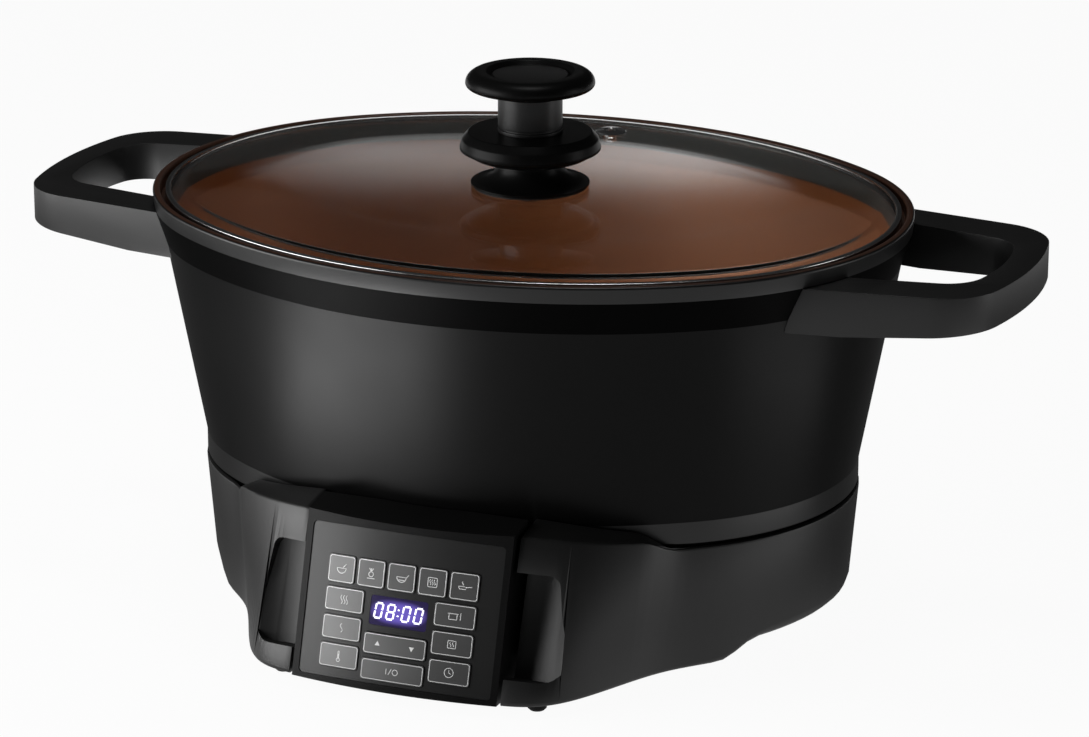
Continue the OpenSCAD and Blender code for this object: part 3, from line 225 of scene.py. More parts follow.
# %% Strip
bpy.ops.object.select_all(action="DESELECT")
bpy.ops.mesh.primitive_plane_add(size=1)
strip = bpy.context.active_object
strip.name = "strip"
strip.scale = (0.8, 0.12, 1)
strip.rotation_euler = (math.radians(90), 0, azimuth)
strip_far, strip_up = 1.9, 0.61
back = Vector((-math.sin(azimuth), math.cos(azimuth), 0))
strip.location = aim + strip_far * back + Vector((0, 0, strip_up))
strip.visible_camera = False
pale_sheet = bpy.data.materials.new("pale_sheet")
pale_sheet.use_nodes = True
tree = pale_sheet.node_tree
tree.nodes.clear()
place = tree.nodes.new("ShaderNodeTexCoord")
axes = tree.nodes.new("ShaderNodeSeparateXYZ")
link(tree, place.outputs["Object"], axes.inputs[0])
along, upward = axes.outputs["X"], axes.outputs["Y"]
left_end = ramp(tree, along, -0.4, -0.15, 0, 0.58)
right_end = ramp(tree, along, 0.16, 0.34, 1, 0)
growth = ramp(tree, along, -0.05, 0.15, 0.9, 1.8)
ends = maths(tree, "MULTIPLY", maths(tree, "MULTIPLY", left_end, right_end), growth)
lower_edge = ramp(tree, upward, -0.25, -0.13, 0.4, 1)
upper_edge = ramp(tree, upward, -0.1, 0.3, 1, 0)
edges = maths(tree, "MULTIPLY", lower_edge, upper_edge)
glow = tree.nodes.new("ShaderNodeEmission")
out = tree.nodes.new("ShaderNodeOutputMaterial")
link(tree, maths(tree, "MULTIPLY", ends, edges), glow.inputs["Strength"])
link(tree, glow.outputs[0], out.inputs["Surface"])
strip.data.materials.append(pale_sheet)
print("strip", strip.location[:])

# %% [markdown]
# ## Shared effects
# No real surface is one flat colour. Three small node groups give what all finishes
# share: a slow drift between two colours, a slow drift of gloss, and a fine grain for
# the bump. Each material places them with its own values.

# %% Node groups


def new_group(name, inputs, outputs):
    """An empty shader group with its named sockets. Inputs are (name, type, default)."""
    group = bpy.data.node_groups.new(name, "ShaderNodeTree")
    for label, kind, default in inputs:
        socket = group.interface.new_socket(label, in_out="INPUT", socket_type=kind)
        socket.default_value = default
    for label, kind in outputs:
        group.interface.new_socket(label, in_out="OUTPUT", socket_type=kind)
    start = group.nodes.new("NodeGroupInput")
    end = group.nodes.new("NodeGroupOutput")
    return group, start, end


def noise(tree, scale, detail, stretch=(1, 1, 1)):
    """A noise on the piece's own coordinates. Scale is a number or a socket."""
    place = tree.nodes.new("ShaderNodeTexCoord")
    mapping = tree.nodes.new("ShaderNodeMapping")
    mapping.inputs["Scale"].default_value = stretch
    texture = tree.nodes.new("ShaderNodeTexNoise")
    texture.inputs["Detail"].default_value = detail
    link(tree, place.outputs["Object"], mapping.inputs["Vector"])
    link(tree, mapping.outputs[0], texture.inputs["Vector"])
    if isinstance(scale, (int, float)):
        texture.inputs["Scale"].default_value = scale
    else:
        link(tree, scale, texture.inputs["Scale"])
    return texture.outputs["Fac"]


FLOAT, COLOUR = "NodeSocketFloat", "NodeSocketColor"
grey = (0.5, 0.5, 0.5, 1)

tone_drift, start, end = new_group(
    "tone_drift",
    [("Dark", COLOUR, grey), ("Light", COLOUR, grey), ("Scale", FLOAT, 20)],
    [("Color", COLOUR)],
)
blend = tone_drift.nodes.new("ShaderNodeMix")
blend.data_type = "RGBA"
link(tone_drift, noise(tone_drift, start.outputs["Scale"], 4), blend.inputs["Factor"])
link(tone_drift, start.outputs["Dark"], blend.inputs["A"])
link(tone_drift, start.outputs["Light"], blend.inputs["B"])
link(tone_drift, blend.outputs["Result"], end.inputs["Color"])

gloss_drift, start, end = new_group(
    "gloss_drift",
    [("Smooth", FLOAT, 0.3), ("Dull", FLOAT, 0.4), ("Scale", FLOAT, 20)],
    [("Roughness", FLOAT)],
)
span = gloss_drift.nodes.new("ShaderNodeMapRange")
link(gloss_drift, noise(gloss_drift, start.outputs["Scale"], 3), span.inputs["Value"])
link(gloss_drift, start.outputs["Smooth"], span.inputs["To Min"])
link(gloss_drift, start.outputs["Dull"], span.inputs["To Max"])
link(gloss_drift, span.outputs["Result"], end.inputs["Roughness"])

fine_grain, start, end = new_group(
    "fine_grain",
    [("Scale", FLOAT, 2000)],
    [("Height", FLOAT)],
)
coarse = noise(fine_grain, start.outputs["Scale"], 2)
fine = noise(fine_grain, maths(fine_grain, "MULTIPLY", start.outputs["Scale"], 2.7), 1)
link(fine_grain, maths(fine_grain, "ADD", coarse, maths(fine_grain, "MULTIPLY", fine, 0.5)),
     end.inputs["Height"])
print("groups", [g.name for g in bpy.data.node_groups])

# %% [markdown]
# ## Finishes
# Each finish is a Principled shader fed by the groups. The blacks are not pure black:
# moulded plastic sends back about one percent, and a low specular level keeps the pale
# floor from greying the walls. The pot has three blacks: a satin wall, a shinier lip and
# skirt, and on the band a darker, barely reflective copy of the wall's black, which is
# painted shade. The grey for the pot's inner band is painted shade too. What is the same
# all over is set on the shader itself.

# %% Finishes


def finish(name, dark, light, smooth, dull, grain=2000, depth=0.01, drift=25, **sockets):
    """A material from the three groups. Depth of the grain is in millimetres."""
    material = bpy.data.materials.new(name)
    material.use_nodes = True
    tree = material.node_tree
    shader = tree.nodes["Principled BSDF"]
    tone = tree.nodes.new("ShaderNodeGroup")
    tone.node_tree = tone_drift
    tone.inputs["Dark"].default_value = (*dark, 1)
    tone.inputs["Light"].default_value = (*light, 1)
    tone.inputs["Scale"].default_value = drift
    gloss = tree.nodes.new("ShaderNodeGroup")
    gloss.node_tree = gloss_drift
    gloss.inputs["Smooth"].default_value = smooth
    gloss.inputs["Dull"].default_value = dull
    gloss.inputs["Scale"].default_value = drift * 1.7
    skin = tree.nodes.new("ShaderNodeGroup")
    skin.node_tree = fine_grain
    skin.inputs["Scale"].default_value = grain
    bump = tree.nodes.new("ShaderNodeBump")
    bump.inputs["Distance"].default_value = depth * mm
    link(tree, tone.outputs["Color"], shader.inputs["Base Color"])
    link(tree, gloss.outputs["Roughness"], shader.inputs["Roughness"])
    link(tree, skin.outputs["Height"], bump.inputs["Height"])
    link(tree, bump.outputs["Normal"], shader.inputs["Normal"])
    for label, value in sockets.items():
        shader.inputs[label.replace("_", " ")].default_value = value
    return material


def even(low, high):
    """Two neutral greys."""
    return (low,) * 3, (high,) * 3


handle_black = finish("handle_black", *even(0.009, 0.013), 0.4, 0.46, 1500, 0.012,
                      Specular_IOR_Level=0.4)
housing_black = finish("housing_black", *even(0.008, 0.012), 0.4, 0.46, 1500, 0.012,
                       Specular_IOR_Level=0.5)
knob_black = finish("knob_black", *even(0.003, 0.005), 0.34, 0.4, 2200, 0.006,
                    Specular_IOR_Level=0.08)
stem_black = finish("stem_black", *even(0.006, 0.009), 0.34, 0.4, 2200, 0.006,
                    Specular_IOR_Level=0.3)
pot_black = finish("pot_black", *even(0.002, 0.0035), 0.34, 0.4, 3000, 0.006,
                   Specular_IOR_Level=0.1)
# A darker, barely reflective copy of the wall's black for the pot's outer band: painted shade.
band_painted_shade_black = finish("band_painted_shade_black", *even(0.0008, 0.0012), 0.4, 0.46, 3000, 0.006,
                    Specular_IOR_Level=0.02)
lip_black = finish("lip_black", *even(0.002, 0.003), 0.34, 0.4, 3000, 0.006,
                   Specular_IOR_Level=0.45)
copper_coat = finish("copper_coat", (0.28, 0.098, 0.036), (0.38, 0.135, 0.052), 0.3, 0.38,
                     1800, 0.01, 14, Metallic=0.25)
# A grey in place of the brown coat on the pot's inner band: painted shade where the band lies in
# shadow under the lid.
inner_band_painted_shade = finish("inner_band_painted_shade", (0.05, 0.051, 0.048), (0.068, 0.07, 0.066), 0.3, 0.38,
                    1800, 0.01, 14, Specular_IOR_Level=0.2)
lip_brown = finish("lip_brown", (0.05, 0.02, 0.011), (0.075, 0.03, 0.016), 0.3, 0.38,
                   1800, 0.01, 14, Metallic=0.25)
steel = finish("steel", *even(0.52, 0.62), 0.16, 0.26, 900, 0.004, 60, Metallic=1.0)
rubber = finish("rubber", *even(0.012, 0.02), 0.6, 0.75, 1200, 0.03,
                Specular_IOR_Level=0.25)
panel_gloss = finish("panel_gloss", *even(0.012, 0.016), 0.26, 0.32, 2600, 0.004,
                     Specular_IOR_Level=0.35)
frame_gloss = finish("frame_gloss", *even(0.005, 0.007), 0.3, 0.36, 2600, 0.004,
                     Specular_IOR_Level=0.1)
key_gloss = finish("key_gloss", *even(0.03, 0.04), 0.3, 0.36, 2600, 0.004,
                   Specular_IOR_Level=1.0)
pale_ink = finish("pale_ink", *even(0.66, 0.76), 0.35, 0.45, 3000, 0.002, 200)
inner_grey = finish("inner_grey", *even(0.4, 0.5), 0.5, 0.6, 1500, 0.02)
board_green = finish("board_green", (0.02, 0.1, 0.045), (0.035, 0.15, 0.07), 0.4, 0.5)
alloy = finish("alloy", *even(0.5, 0.6), 0.35, 0.5, 800, 0.02, 40, Metallic=1.0)
sheath = finish("sheath", (0.14, 0.13, 0.12), (0.22, 0.2, 0.18), 0.4, 0.55, 900, 0.02, 60,
                Metallic=1.0)
ceramic = finish("ceramic", (0.62, 0.6, 0.55), (0.7, 0.68, 0.63), 0.55, 0.7, 1500, 0.03)
print("finishes", len(bpy.data.materials))

# %% [markdown]
# ## Glass and display
# Clear glass is a Principled shader with full transmission. Lamps can't send light
# straight through a refracting shell, so for shadow rays only the glass is plain
# transparent. The display is a dark window with a violet halo, brightest behind the
# digits and fading towards its edges.

# %% Glass and display
glass = finish("glass", (0.9, 0.93, 0.92), (0.95, 0.97, 0.96), 0.02, 0.05, 300, 0.0001, 12,
               Transmission_Weight=1.0, IOR=1.46)
tree = glass.node_tree
path = tree.nodes.new("ShaderNodeLightPath")
clear = tree.nodes.new("ShaderNodeBsdfTransparent")
clear.inputs["Color"].default_value = (0.9, 0.92, 0.92, 1)
mix = tree.nodes.new("ShaderNodeMixShader")
link(tree, path.outputs["Is Shadow Ray"], mix.inputs[0])
link(tree, tree.nodes["Principled BSDF"].outputs[0], mix.inputs[1])
link(tree, clear.outputs[0], mix.inputs[2])
link(tree, mix.outputs[0], tree.nodes["Material Output"].inputs["Surface"])


def lit(name, dark, light, strength, drift):
    """A glowing finish whose colour drifts over the surface."""
    material = finish(name, dark, light, 0.2, 0.3, drift=drift)
    tree = material.node_tree
    shader = tree.nodes["Principled BSDF"]
    tone = shader.inputs["Base Color"].links[0].from_socket
    link(tree, tone, shader.inputs["Emission Color"])
    shader.inputs["Emission Strength"].default_value = strength
    return material


display_mid = panel_mid + window_y * panel_up
display_violet = finish("display_violet", (0.01, 0.008, 0.02), (0.014, 0.011, 0.03),
                        0.12, 0.18, drift=70)
tree = display_violet.node_tree
place = tree.nodes.new("ShaderNodeTexCoord")
local = tree.nodes.new("ShaderNodeMapping")
local.vector_type = "TEXTURE"
local.inputs["Location"].default_value = display_mid * mm
local.inputs["Rotation"].default_value = (math.atan2(panel_up.z, panel_up.y), 0, 0)
local.inputs["Scale"].default_value = (12.5 * mm, 4.8 * mm, 1)
axes = tree.nodes.new("ShaderNodeSeparateXYZ")
link(tree, place.outputs["Object"], local.inputs["Vector"])
link(tree, local.outputs["Vector"], axes.inputs[0])
far_x = maths(tree, "POWER", maths(tree, "ABSOLUTE", axes.outputs["X"], 0), 3)
far_y = maths(tree, "POWER", maths(tree, "ABSOLUTE", axes.outputs["Y"], 0), 2)
halo = tree.nodes.new("ShaderNodeMix")
halo.data_type = "RGBA"
halo.inputs["A"].default_value = (0.012, 0.008, 0.04, 1)
halo.inputs["B"].default_value = (0.14, 0.1, 0.5, 1)
link(tree, ramp(tree, maths(tree, "ADD", far_x, far_y), 0.2, 1.5, 1, 0), halo.inputs["Factor"])
shader = tree.nodes["Principled BSDF"]
link(tree, halo.outputs["Result"], shader.inputs["Emission Color"])
shader.inputs["Emission Strength"].default_value = 1.0
digit_white = lit("digit_white", (0.8, 0.78, 1.0), (1.0, 1.0, 1.0), 1.0, 200)
print("glass and display ready")

# %% [markdown]
# ## Drawing tools
# Turned parts are drawn as half a section and spun, as on a lathe. The pot and the lid
# are ovals of four arcs, so the same section is spun round four centres one after the
# other. A corner with a radius is drawn as a short arc before spinning.

# %% Drawing tools


def rounded(points, steps=5):
    """Corners (x, z, radius) turned into a chain of (x, z), each radius as an arc."""
    chain = []
    for index, (x, z, *radius) in enumerate(points):
        corner = Vector((x, z))
        if not radius or index in (0, len(points) - 1):
            chain.append(corner)
            continue
        before = (Vector(points[index - 1][:2]) - corner).normalized()
        after = (Vector(points[index + 1][:2]) - corner).normalized()
        half = before.angle(after) / 2
        middle = corner + (before + after).normalized() * radius[0] / math.sin(half)
        first = corner + before * radius[0] / math.tan(half) - middle
        turn = first.angle_signed(corner + after * radius[0] / math.tan(half) - middle)
        for step in range(steps + 1):
            angle = -turn * step / steps
            cos, sin = math.cos(angle), math.sin(angle)
            across = first.x * cos - first.y * sin
            upright = first.x * sin + first.y * cos
            chain.append(middle + Vector((across, upright)))
    return chain


def draw_chain(name, places):
    """A wire drawn point by point: a plane merged to one vertex, then extruded on."""
    bpy.ops.object.select_all(action="DESELECT")
    bpy.ops.mesh.primitive_plane_add(size=mm)
    piece = bpy.context.active_object
    piece.name = piece.data.name = name
    bpy.ops.object.mode_set(mode="EDIT")
    bpy.ops.mesh.merge(type="CENTER")
    bpy.ops.transform.translate(value=places[0])
    for before, after in zip(places, places[1:]):
        bpy.ops.mesh.extrude_vertices_move(TRANSFORM_OT_translate={"value": after - before})
    bpy.ops.mesh.select_all(action="SELECT")
    return piece


def close_up(piece, material, smooth=30):
    """Merges the seam, fills open ends, turns the faces outwards and shades the piece."""
    bpy.ops.mesh.select_all(action="SELECT")
    bpy.ops.mesh.remove_doubles(threshold=0.00001)
    bpy.ops.mesh.fill_holes(sides=0)
    bpy.ops.mesh.select_all(action="SELECT")
    bpy.ops.mesh.normals_make_consistent(inside=False)
    bpy.ops.object.mode_set(mode="OBJECT")
    bpy.ops.object.shade_smooth_by_angle(angle=math.radians(smooth))
    piece.data.materials.append(material)
    return piece


def turned(name, points, material, centre=(0, pot_y), steps=96):
    """A lathe part: points are (radius, height, corner radius) in millimetres."""
    places = [Vector((centre[0] + p.x, centre[1], p.y)) * mm for p in rounded(points)]
    piece = draw_chain(name, places)
    bpy.ops.mesh.spin(steps=steps, angle=2 * math.pi, axis=(0, 0, 1),
                      center=(centre[0] * mm, centre[1] * mm, 0))
    return close_up(piece, material)


end_x = 51.75
side_y = 69
end_r = 122.25
join_x, join_y = 0.6, 0.8
end_angle = 2 * math.acos(join_x)
side_angle = math.pi - end_angle


def swept_oval(name, points, material, steps=60):
    """An oval part: points are (inset from the lip, height, corner radius)."""
    places = []
    for point in rounded(points):
        reach = end_r - point.x
        places.append(Vector((end_x + join_x * reach, pot_y + join_y * reach, point.y)) * mm)
    piece = draw_chain(name, places)
    arcs = (
        (0, -side_y, side_angle), (-end_x, 0, end_angle),
        (0, side_y, side_angle), (end_x, 0, end_angle),
    )
    for x, y, angle in arcs:
        bpy.ops.mesh.spin(steps=steps, angle=-angle, axis=(0, 0, 1),
                          center=(x * mm, (y + pot_y) * mm, 0))
    return close_up(piece, material)


def dress(piece, body, slot, *replaced):
    """Hangs a finished piece on its body and lets it stand for its CAD nodes."""
    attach(piece, body)
    if replaced:
        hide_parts(*replaced)
    print(piece.name, len(piece.data.polygons), "faces")


# %% [markdown]
# ## Pot
# The pot is cast in one piece: an upright band under the lip, a flared wall, and a short
# skirt that meets the base. One closed section, inside and outside, is swept round the
# oval. The outside is black, shinier on the lip and the skirt, and darker on the band,
# which is painted shade. Faces that look in or up get the brown coat, darker on the lip;
# above the wall they get a grey instead, painted shade on the inner band.

# %% Pot
flare, skirt, skirt_top, skirt_low, spigot, wall = 5.3, 22.246, 73.4, 63.2, 25.046, 2.6
floor_low, floor_top, band_low, band_top, ledge_z, lip_z = 55.5, 58.5, 165, 179.7, 181.5, 187
coat_from, shade_from, lip_from = 57, 172, 181
pot_shell = swept_oval("pot", [
    (75, floor_top),
    (spigot + wall + 4, floor_top, 3),
    (spigot + wall, 62.5, 3),
    (spigot + wall, 65.8, 1),
    (skirt + wall, skirt_top, 3),
    (flare + wall, band_low, 6),
    (8.53, shade_from),
    (9.2, ledge_z - 2, 0.4),
    (9.2, ledge_z, 0.3),
    (3.7, ledge_z, 0.4),
    (3.7, lip_z, 1),
    (0, lip_z, 1.1),
    (0.7, band_top, 1.2),
    (flare, band_low, 3),
    (skirt, skirt_top, 2.5),
    (skirt, skirt_low, 1.1),
    (spigot, skirt_low, 0.5),
    (spigot, floor_low, 3.5),
    (75, floor_low),
], pot_black)
for coat in (copper_coat, lip_brown, inner_band_painted_shade, band_painted_shade_black, lip_black):
    pot_shell.data.materials.append(coat)
COPPER, BROWN, INNER_PAINTED_SHADE, BAND_PAINTED_SHADE, LIP = range(1, 6)
for face in pot_shell.data.polygons:
    flat = Vector((face.center.x, face.center.y - pot_y * mm, 0))
    inward = face.normal.dot(flat.normalized()) < -0.05
    height = face.center.z / mm
    if height > lip_from and (inward or face.normal.z > 0.95):
        face.material_index = BROWN
    elif coat_from < height < lip_from and (inward or face.normal.z > 0.3):
        # Inward faces above the wall get the grey: painted shade on the inner band.
        face.material_index = INNER_PAINTED_SHADE if height > shade_from else COPPER
    elif height > band_low:
        # The outer band gets the darker black: painted shade.
        face.material_index = BAND_PAINTED_SHADE if height < band_top else LIP
    elif skirt_low < height < skirt_top:
        face.material_index = LIP
dress(pot_shell, "pot", "pot_coating", "pot_shell")

# %% [markdown]
# ## Glass lid
# The lid is a shallow tempered dome with a flat border, held by a folded steel rim. The
# same sweep makes both: the dome's two faces from a parabola, four millimetres apart,
# and the rim as a C-shaped strip with rounded folds.

# %% Lid


dome_edge, dome_run, dome_rise = 12.9, 47, 2.4
glass_top, glass_low, hole = 188.6, 184.5, 80


def dome(inset, lift):
    """Height of the dome's face at an inset, for its top or bottom lift."""
    return lift + dome_rise * (1 - ((dome_edge + dome_run - inset) / dome_run) ** 2)


insets = [dome_edge + dome_run * step / 14 for step in range(15)]
upper = [(d, dome(d, glass_top)) for d in reversed(insets)]
lower = [(d, dome(d, glass_low)) for d in insets]
border = [(8.3, 186.3, 1), (6.5, 186.3, 0.3), (6.5, 182.2, 0.3), (9.3, 182.2, 1)]
section = [(hole, glass_top + dome_rise)] + upper + border + lower + [(hole, glass_low + dome_rise)]
lid_glass = swept_oval("lid_glass_dome", section, glass)
dress(lid_glass, "lid", "clear_glass", "lid_glass")

lid_rim = swept_oval("lid_rim_fold", [
    (8.2, 181.55),
    (5.8, 181.55, 0.3),
    (5.8, 187, 0.5),
    (8.2, 187, 0.12),
    (8.2, 186.4, 0.12),
    (6.4, 186.4, 0.2),
    (6.4, 182.15, 0.2),
    (8.2, 182.15, 0.12),
    (8.2, 181.55),
], steel)
dress(lid_rim, "lid", "steel", "lid_rim")

# %% [markdown]
# ## Knob
# The knob is a stack of turned parts: a foot on the glass, a wide collar that keeps
# steam off the hand, a stem, and a round grip with an inset cap. Each is spun from its
# own section, with soft edges, so the seams between them stay as fine dark lines.

# %% Knob


def quarter(x0, z0, x1, z1, steps=10):
    """A quarter of an ellipse, flat at its first end."""
    turns = [math.pi / 2 * step / steps for step in range(steps + 1)]
    return [(x0 + (x1 - x0) * math.sin(a), z0 + (z1 - z0) * (1 - math.cos(a))) for a in turns]


neck = 14.4
foot_z, collar_z, stem_z, grip_z, knob_top = 191.8, 203.3, 216, 232.6, 243.6
sweep_up = [(26.5 - x, foot_z + z) for x, z in quarter(0, 1.2, 26.5 - neck, 10.5)]
foot = turned("knob_foot_turned", [(3, foot_z), (26.5, foot_z, 0.3)] + sweep_up
              + [(neck, collar_z), (3, collar_z)], knob_black)
dress(foot, "lid", "knob_plastic", "knob_foot")

collar_wide = collar_z + 5.2
collar_low = [(3, collar_z)] + quarter(neck + 2, collar_z, 28.5, collar_wide - 1)
collar_high = [(31.5, collar_wide - 0.6, 0.5), (31.5, collar_wide + 0.8, 0.4),
               (30.6, collar_wide + 4.2, 2), (27.6, stem_z, 1), (3, stem_z)]
collar = turned("knob_collar_turned", collar_low + collar_high, knob_black)
dress(collar, "lid", "knob_plastic", "knob_collar")

stem = turned("knob_stem_turned", [
    (6.8, stem_z), (neck, stem_z, 0.3), (neck, stem_z + 1.6, 0.2), (neck - 0.7, stem_z + 1.9, 0.1),
    (neck - 0.7, stem_z + 2.6, 0.1), (neck, stem_z + 2.9, 0.2), (neck, grip_z, 0.3), (6.8, grip_z),
], stem_black)
dress(stem, "lid", "knob_plastic", "knob_stem")

grip_wide = grip_z + 5.7
cap_z = knob_top - 2.4
angles = [math.radians(9 * step) for step in range(1, 11)]
grip_low = [(0.5, grip_z), (15.2, grip_z, 0.3), (22, grip_z + 2.2, 2)]
grip_side = quarter(26, grip_z + 3.4, 28.9, grip_wide)
crown = [(22.6 + 6.3 * math.cos(a), grip_wide + 5.3 * math.sin(a)) for a in angles]
grip_top = [(19.6, knob_top, 1.2), (17.6, cap_z, 0.3), (0.5, cap_z)]
grip = turned("knob_grip_turned", grip_low + grip_side + crown + grip_top, knob_black)
dress(grip, "lid", "knob_plastic", "knob_grip")

cap = turned("knob_cap_turned", [
    (0.2, cap_z), (17, cap_z, 0.1), (17, cap_z + 1, 0.5), (0.2, cap_z + 1.2),
], stem_black)
dress(cap, "lid", "knob_plastic", "knob_cap")

# %% [markdown]
# ## Softened mouldings
# The handles, housing and pod are moulded, and their CAD meshes have the right shape but
# knife-sharp edges. A copy is merged, its flat faces joined, and a bevel modifier rounds
# every sharp edge, the way a mould maker breaks each corner. Flat panels also get weighted
# normals, so that the light runs evenly over them. The housing's two finger pockets are
# made shallower before its edges are rounded.

# %% Softened copies
seam_x, pocket_w, pocket_h = 49.7, 23, 46
scoop_r, scoop_axis, pocket_foot = 25, 2.12, 23.2
mouth_in, mouth_lean, mouth_slope, mouth_twist, mouth_bow = 4.51, 2.34, 0.17, 0.08, 0.0085
dish_least, dish_more = 2, 11


def dish_pockets(mesh):
    """Brings the wall of both finger pockets forward, from a deep scoop to a soft dish."""
    for vertex in mesh.vertices:
        offset = vertex.co / mm - panel_mid
        along = abs(offset.x) - seam_x
        rise = offset.dot(panel_up) + pocket_foot
        depth = offset.dot(panel_out)
        off_wall = abs(math.hypot(along, depth + scoop_axis) - scoop_r)
        on_wall = depth < -scoop_axis and off_wall < 0.3
        if on_wall and -0.1 < along < pocket_w + 0.1 and -0.1 < rise < pocket_h + 0.1:
            share = rise / pocket_h
            slope = mouth_slope + mouth_twist * share
            mouth = -mouth_in - mouth_lean * share - slope * along - mouth_bow * along ** 2
            dish = dish_least + dish_more * (1 - (along / pocket_w) ** 2)
            vertex.co += (mouth - dish - depth) * mm * panel_out


def softened(node, name, material, width, segments=3, limit=35, reshape=None, flat=False):
    """A merged copy of a CAD node with rounded edges. Width is in millimetres."""
    source = nodes[node]
    piece = bpy.data.objects.new(name, source.data.copy())
    piece.data.name = name
    bpy.context.scene.collection.objects.link(piece)
    bpy.ops.object.select_all(action="DESELECT")
    piece.select_set(True)
    bpy.context.view_layer.objects.active = piece
    bpy.ops.object.mode_set(mode="EDIT")
    bpy.ops.mesh.select_all(action="SELECT")
    bpy.ops.mesh.customdata_custom_splitnormals_clear()
    bpy.ops.mesh.remove_doubles(threshold=0.000002)
    if reshape:
        bpy.ops.object.mode_set(mode="OBJECT")
        reshape(piece.data)
        bpy.ops.object.mode_set(mode="EDIT")
    bpy.ops.mesh.dissolve_limited(angle_limit=math.radians(1))
    bpy.ops.object.mode_set(mode="OBJECT")
    bevel = piece.modifiers.new("soft_edges", "BEVEL")
    bevel.width = width * mm
    bevel.segments = segments
    bevel.limit_method = "ANGLE"
    bevel.angle_limit = math.radians(limit)
    bevel.miter_outer = "MITER_ARC"
    bpy.ops.object.modifier_apply(modifier="soft_edges")
    bpy.ops.object.shade_smooth_by_angle(angle=math.radians(limit))
    if flat:
        even_light = piece.modifiers.new("even_light", "WEIGHTED_NORMAL")
        even_light.keep_sharp = True
        bpy.ops.object.modifier_apply(modifier="even_light")
    piece.data.materials.clear()
    piece.data.materials.append(material)
    return piece


for side in ("left", "right"):
    handle = softened(f"{side}_handle", f"{side}_handle_loop", handle_black, 1.0)
    dress(handle, "pot", "handle_plastic", f"{side}_handle")

housing = softened("base_housing", "base_housing_moulding", housing_black, 0.8, limit=40,
                   reshape=dish_pockets)
dress(housing, "base", "housing_plastic", "base_housing")

pod = softened("control_pod", "control_pod_moulding", frame_gloss, 0.5, flat=True)
dress(pod, "base", "housing_plastic", "control_pod")

# %% [markdown]
# ## Keys
# Twelve keys and a rocker stand a little proud of the fascia, each in its own hole. Each
# is a softened copy of its CAD key on its own body, so it can be pressed.

# %% Keys
push_keys = [f"mode_key_{i}" for i in range(1, 6)]
push_keys += [f"{side}_key_{i}" for side in ("left", "right") for i in range(1, 4)]
push_keys += ["power_key"]
for key in push_keys:
    dress(softened(key, f"{key}_cap", key_gloss, 0.22, 2, flat=True), key, "key_plastic", key)
rocker = softened("adjust_rocker", "adjust_rocker_cap", key_gloss, 0.22, 2, flat=True)
dress(rocker, "rocker", "key_plastic", "adjust_rocker")

# %% [markdown]
# ## Ink
# Every key has a printed outline and a small sign. Strokes are drawn as curves in the
# flat, made a mesh, pressed thin like ink, and laid on the bowed panel point by point.
# Long strokes get extra points first, because a straight chord would sink into the bow.

# %% Ink tools
bow_r = 302


def on_panel(x, y, lift):
    """World place of a point of the panel's face, which bows about an upright axis."""
    sag = bow_r - math.sqrt(bow_r ** 2 - x * x)
    return (panel_mid + Vector((x, 0, 0)) + y * panel_up + (lift - sag) * panel_out) * mm


def stepped(points, closed, longest=1.5):
    """The same stroke with extra points on its long straights, so it can follow the bow."""
    ring = points + points[:1] if closed else points
    chain = [ring[0]]
    for (x0, y0), (x1, y1) in zip(ring, ring[1:]):
        parts = max(1, math.ceil(math.hypot(x1 - x0, y1 - y0) / longest))
        for part in range(1, parts + 1):
            share = part / parts
            chain.append((x0 + (x1 - x0) * share, y0 + (y1 - y0) * share))
    return chain[:-1] if closed else chain


def inked(name, strokes, centre, width, lift, material):
    """Strokes, each a list of points and whether it closes, as thin ink on the panel."""
    curve = bpy.data.curves.new(name, "CURVE")
    curve.dimensions = "3D"
    curve.bevel_depth = width / 2
    curve.bevel_resolution = 1
    curve.use_fill_caps = True
    for points, closed in strokes:
        points = stepped(points, closed)
        spline = curve.splines.new("POLY")
        spline.points.add(len(points) - 1)
        for target, (x, y) in zip(spline.points, points):
            target.co = (x, y, 0, 1)
        spline.use_cyclic_u = closed
    piece = bpy.data.objects.new(name, curve)
    bpy.context.scene.collection.objects.link(piece)
    bpy.ops.object.select_all(action="DESELECT")
    piece.select_set(True)
    bpy.context.view_layer.objects.active = piece
    bpy.ops.object.convert(target="MESH")
    piece = bpy.context.active_object
    for vertex in piece.data.vertices:
        x, y, z = vertex.co
        vertex.co = on_panel(centre[0] + x, centre[1] + y, lift + 0.12 * z)
    piece.data.materials.append(material)
    return piece


def arc(x, y, r, start, stop, steps=14, squash=1.0):
    """Points of an arc, in degrees."""
    turns = [math.radians(start + (stop - start) * i / steps) for i in range(steps + 1)]
    return [(x + r * math.cos(a), y + squash * r * math.sin(a)) for a in turns]


def box_line(w, h, r=1.0):
    """A rounded rectangle as one closed stroke."""
    points = []
    for x, y, start in ((1, 1, 0), (-1, 1, 90), (-1, -1, 180), (1, -1, 270)):
        points += arc(x * (w / 2 - r), y * (h / 2 - r), r, start, start + 90, 4)
    return points, True


def wave(x, y, h, swing=0.35):
    """An upright wisp of steam."""
    return [(x + swing * math.sin(2 * math.pi * i / 12), y + h * i / 12) for i in range(13)], False


def line(*points):
    """An open stroke."""
    return list(points), False


print("ink tools ready")

# %% [markdown]
# ## Signs on the keys
# The signs are plain kitchen ones: bowl, pot, pan, steam, thermometer, clock. Each is a
# short list of strokes, in millimetres from the middle of its key, and a rounded outline
# runs just inside the key's edge.

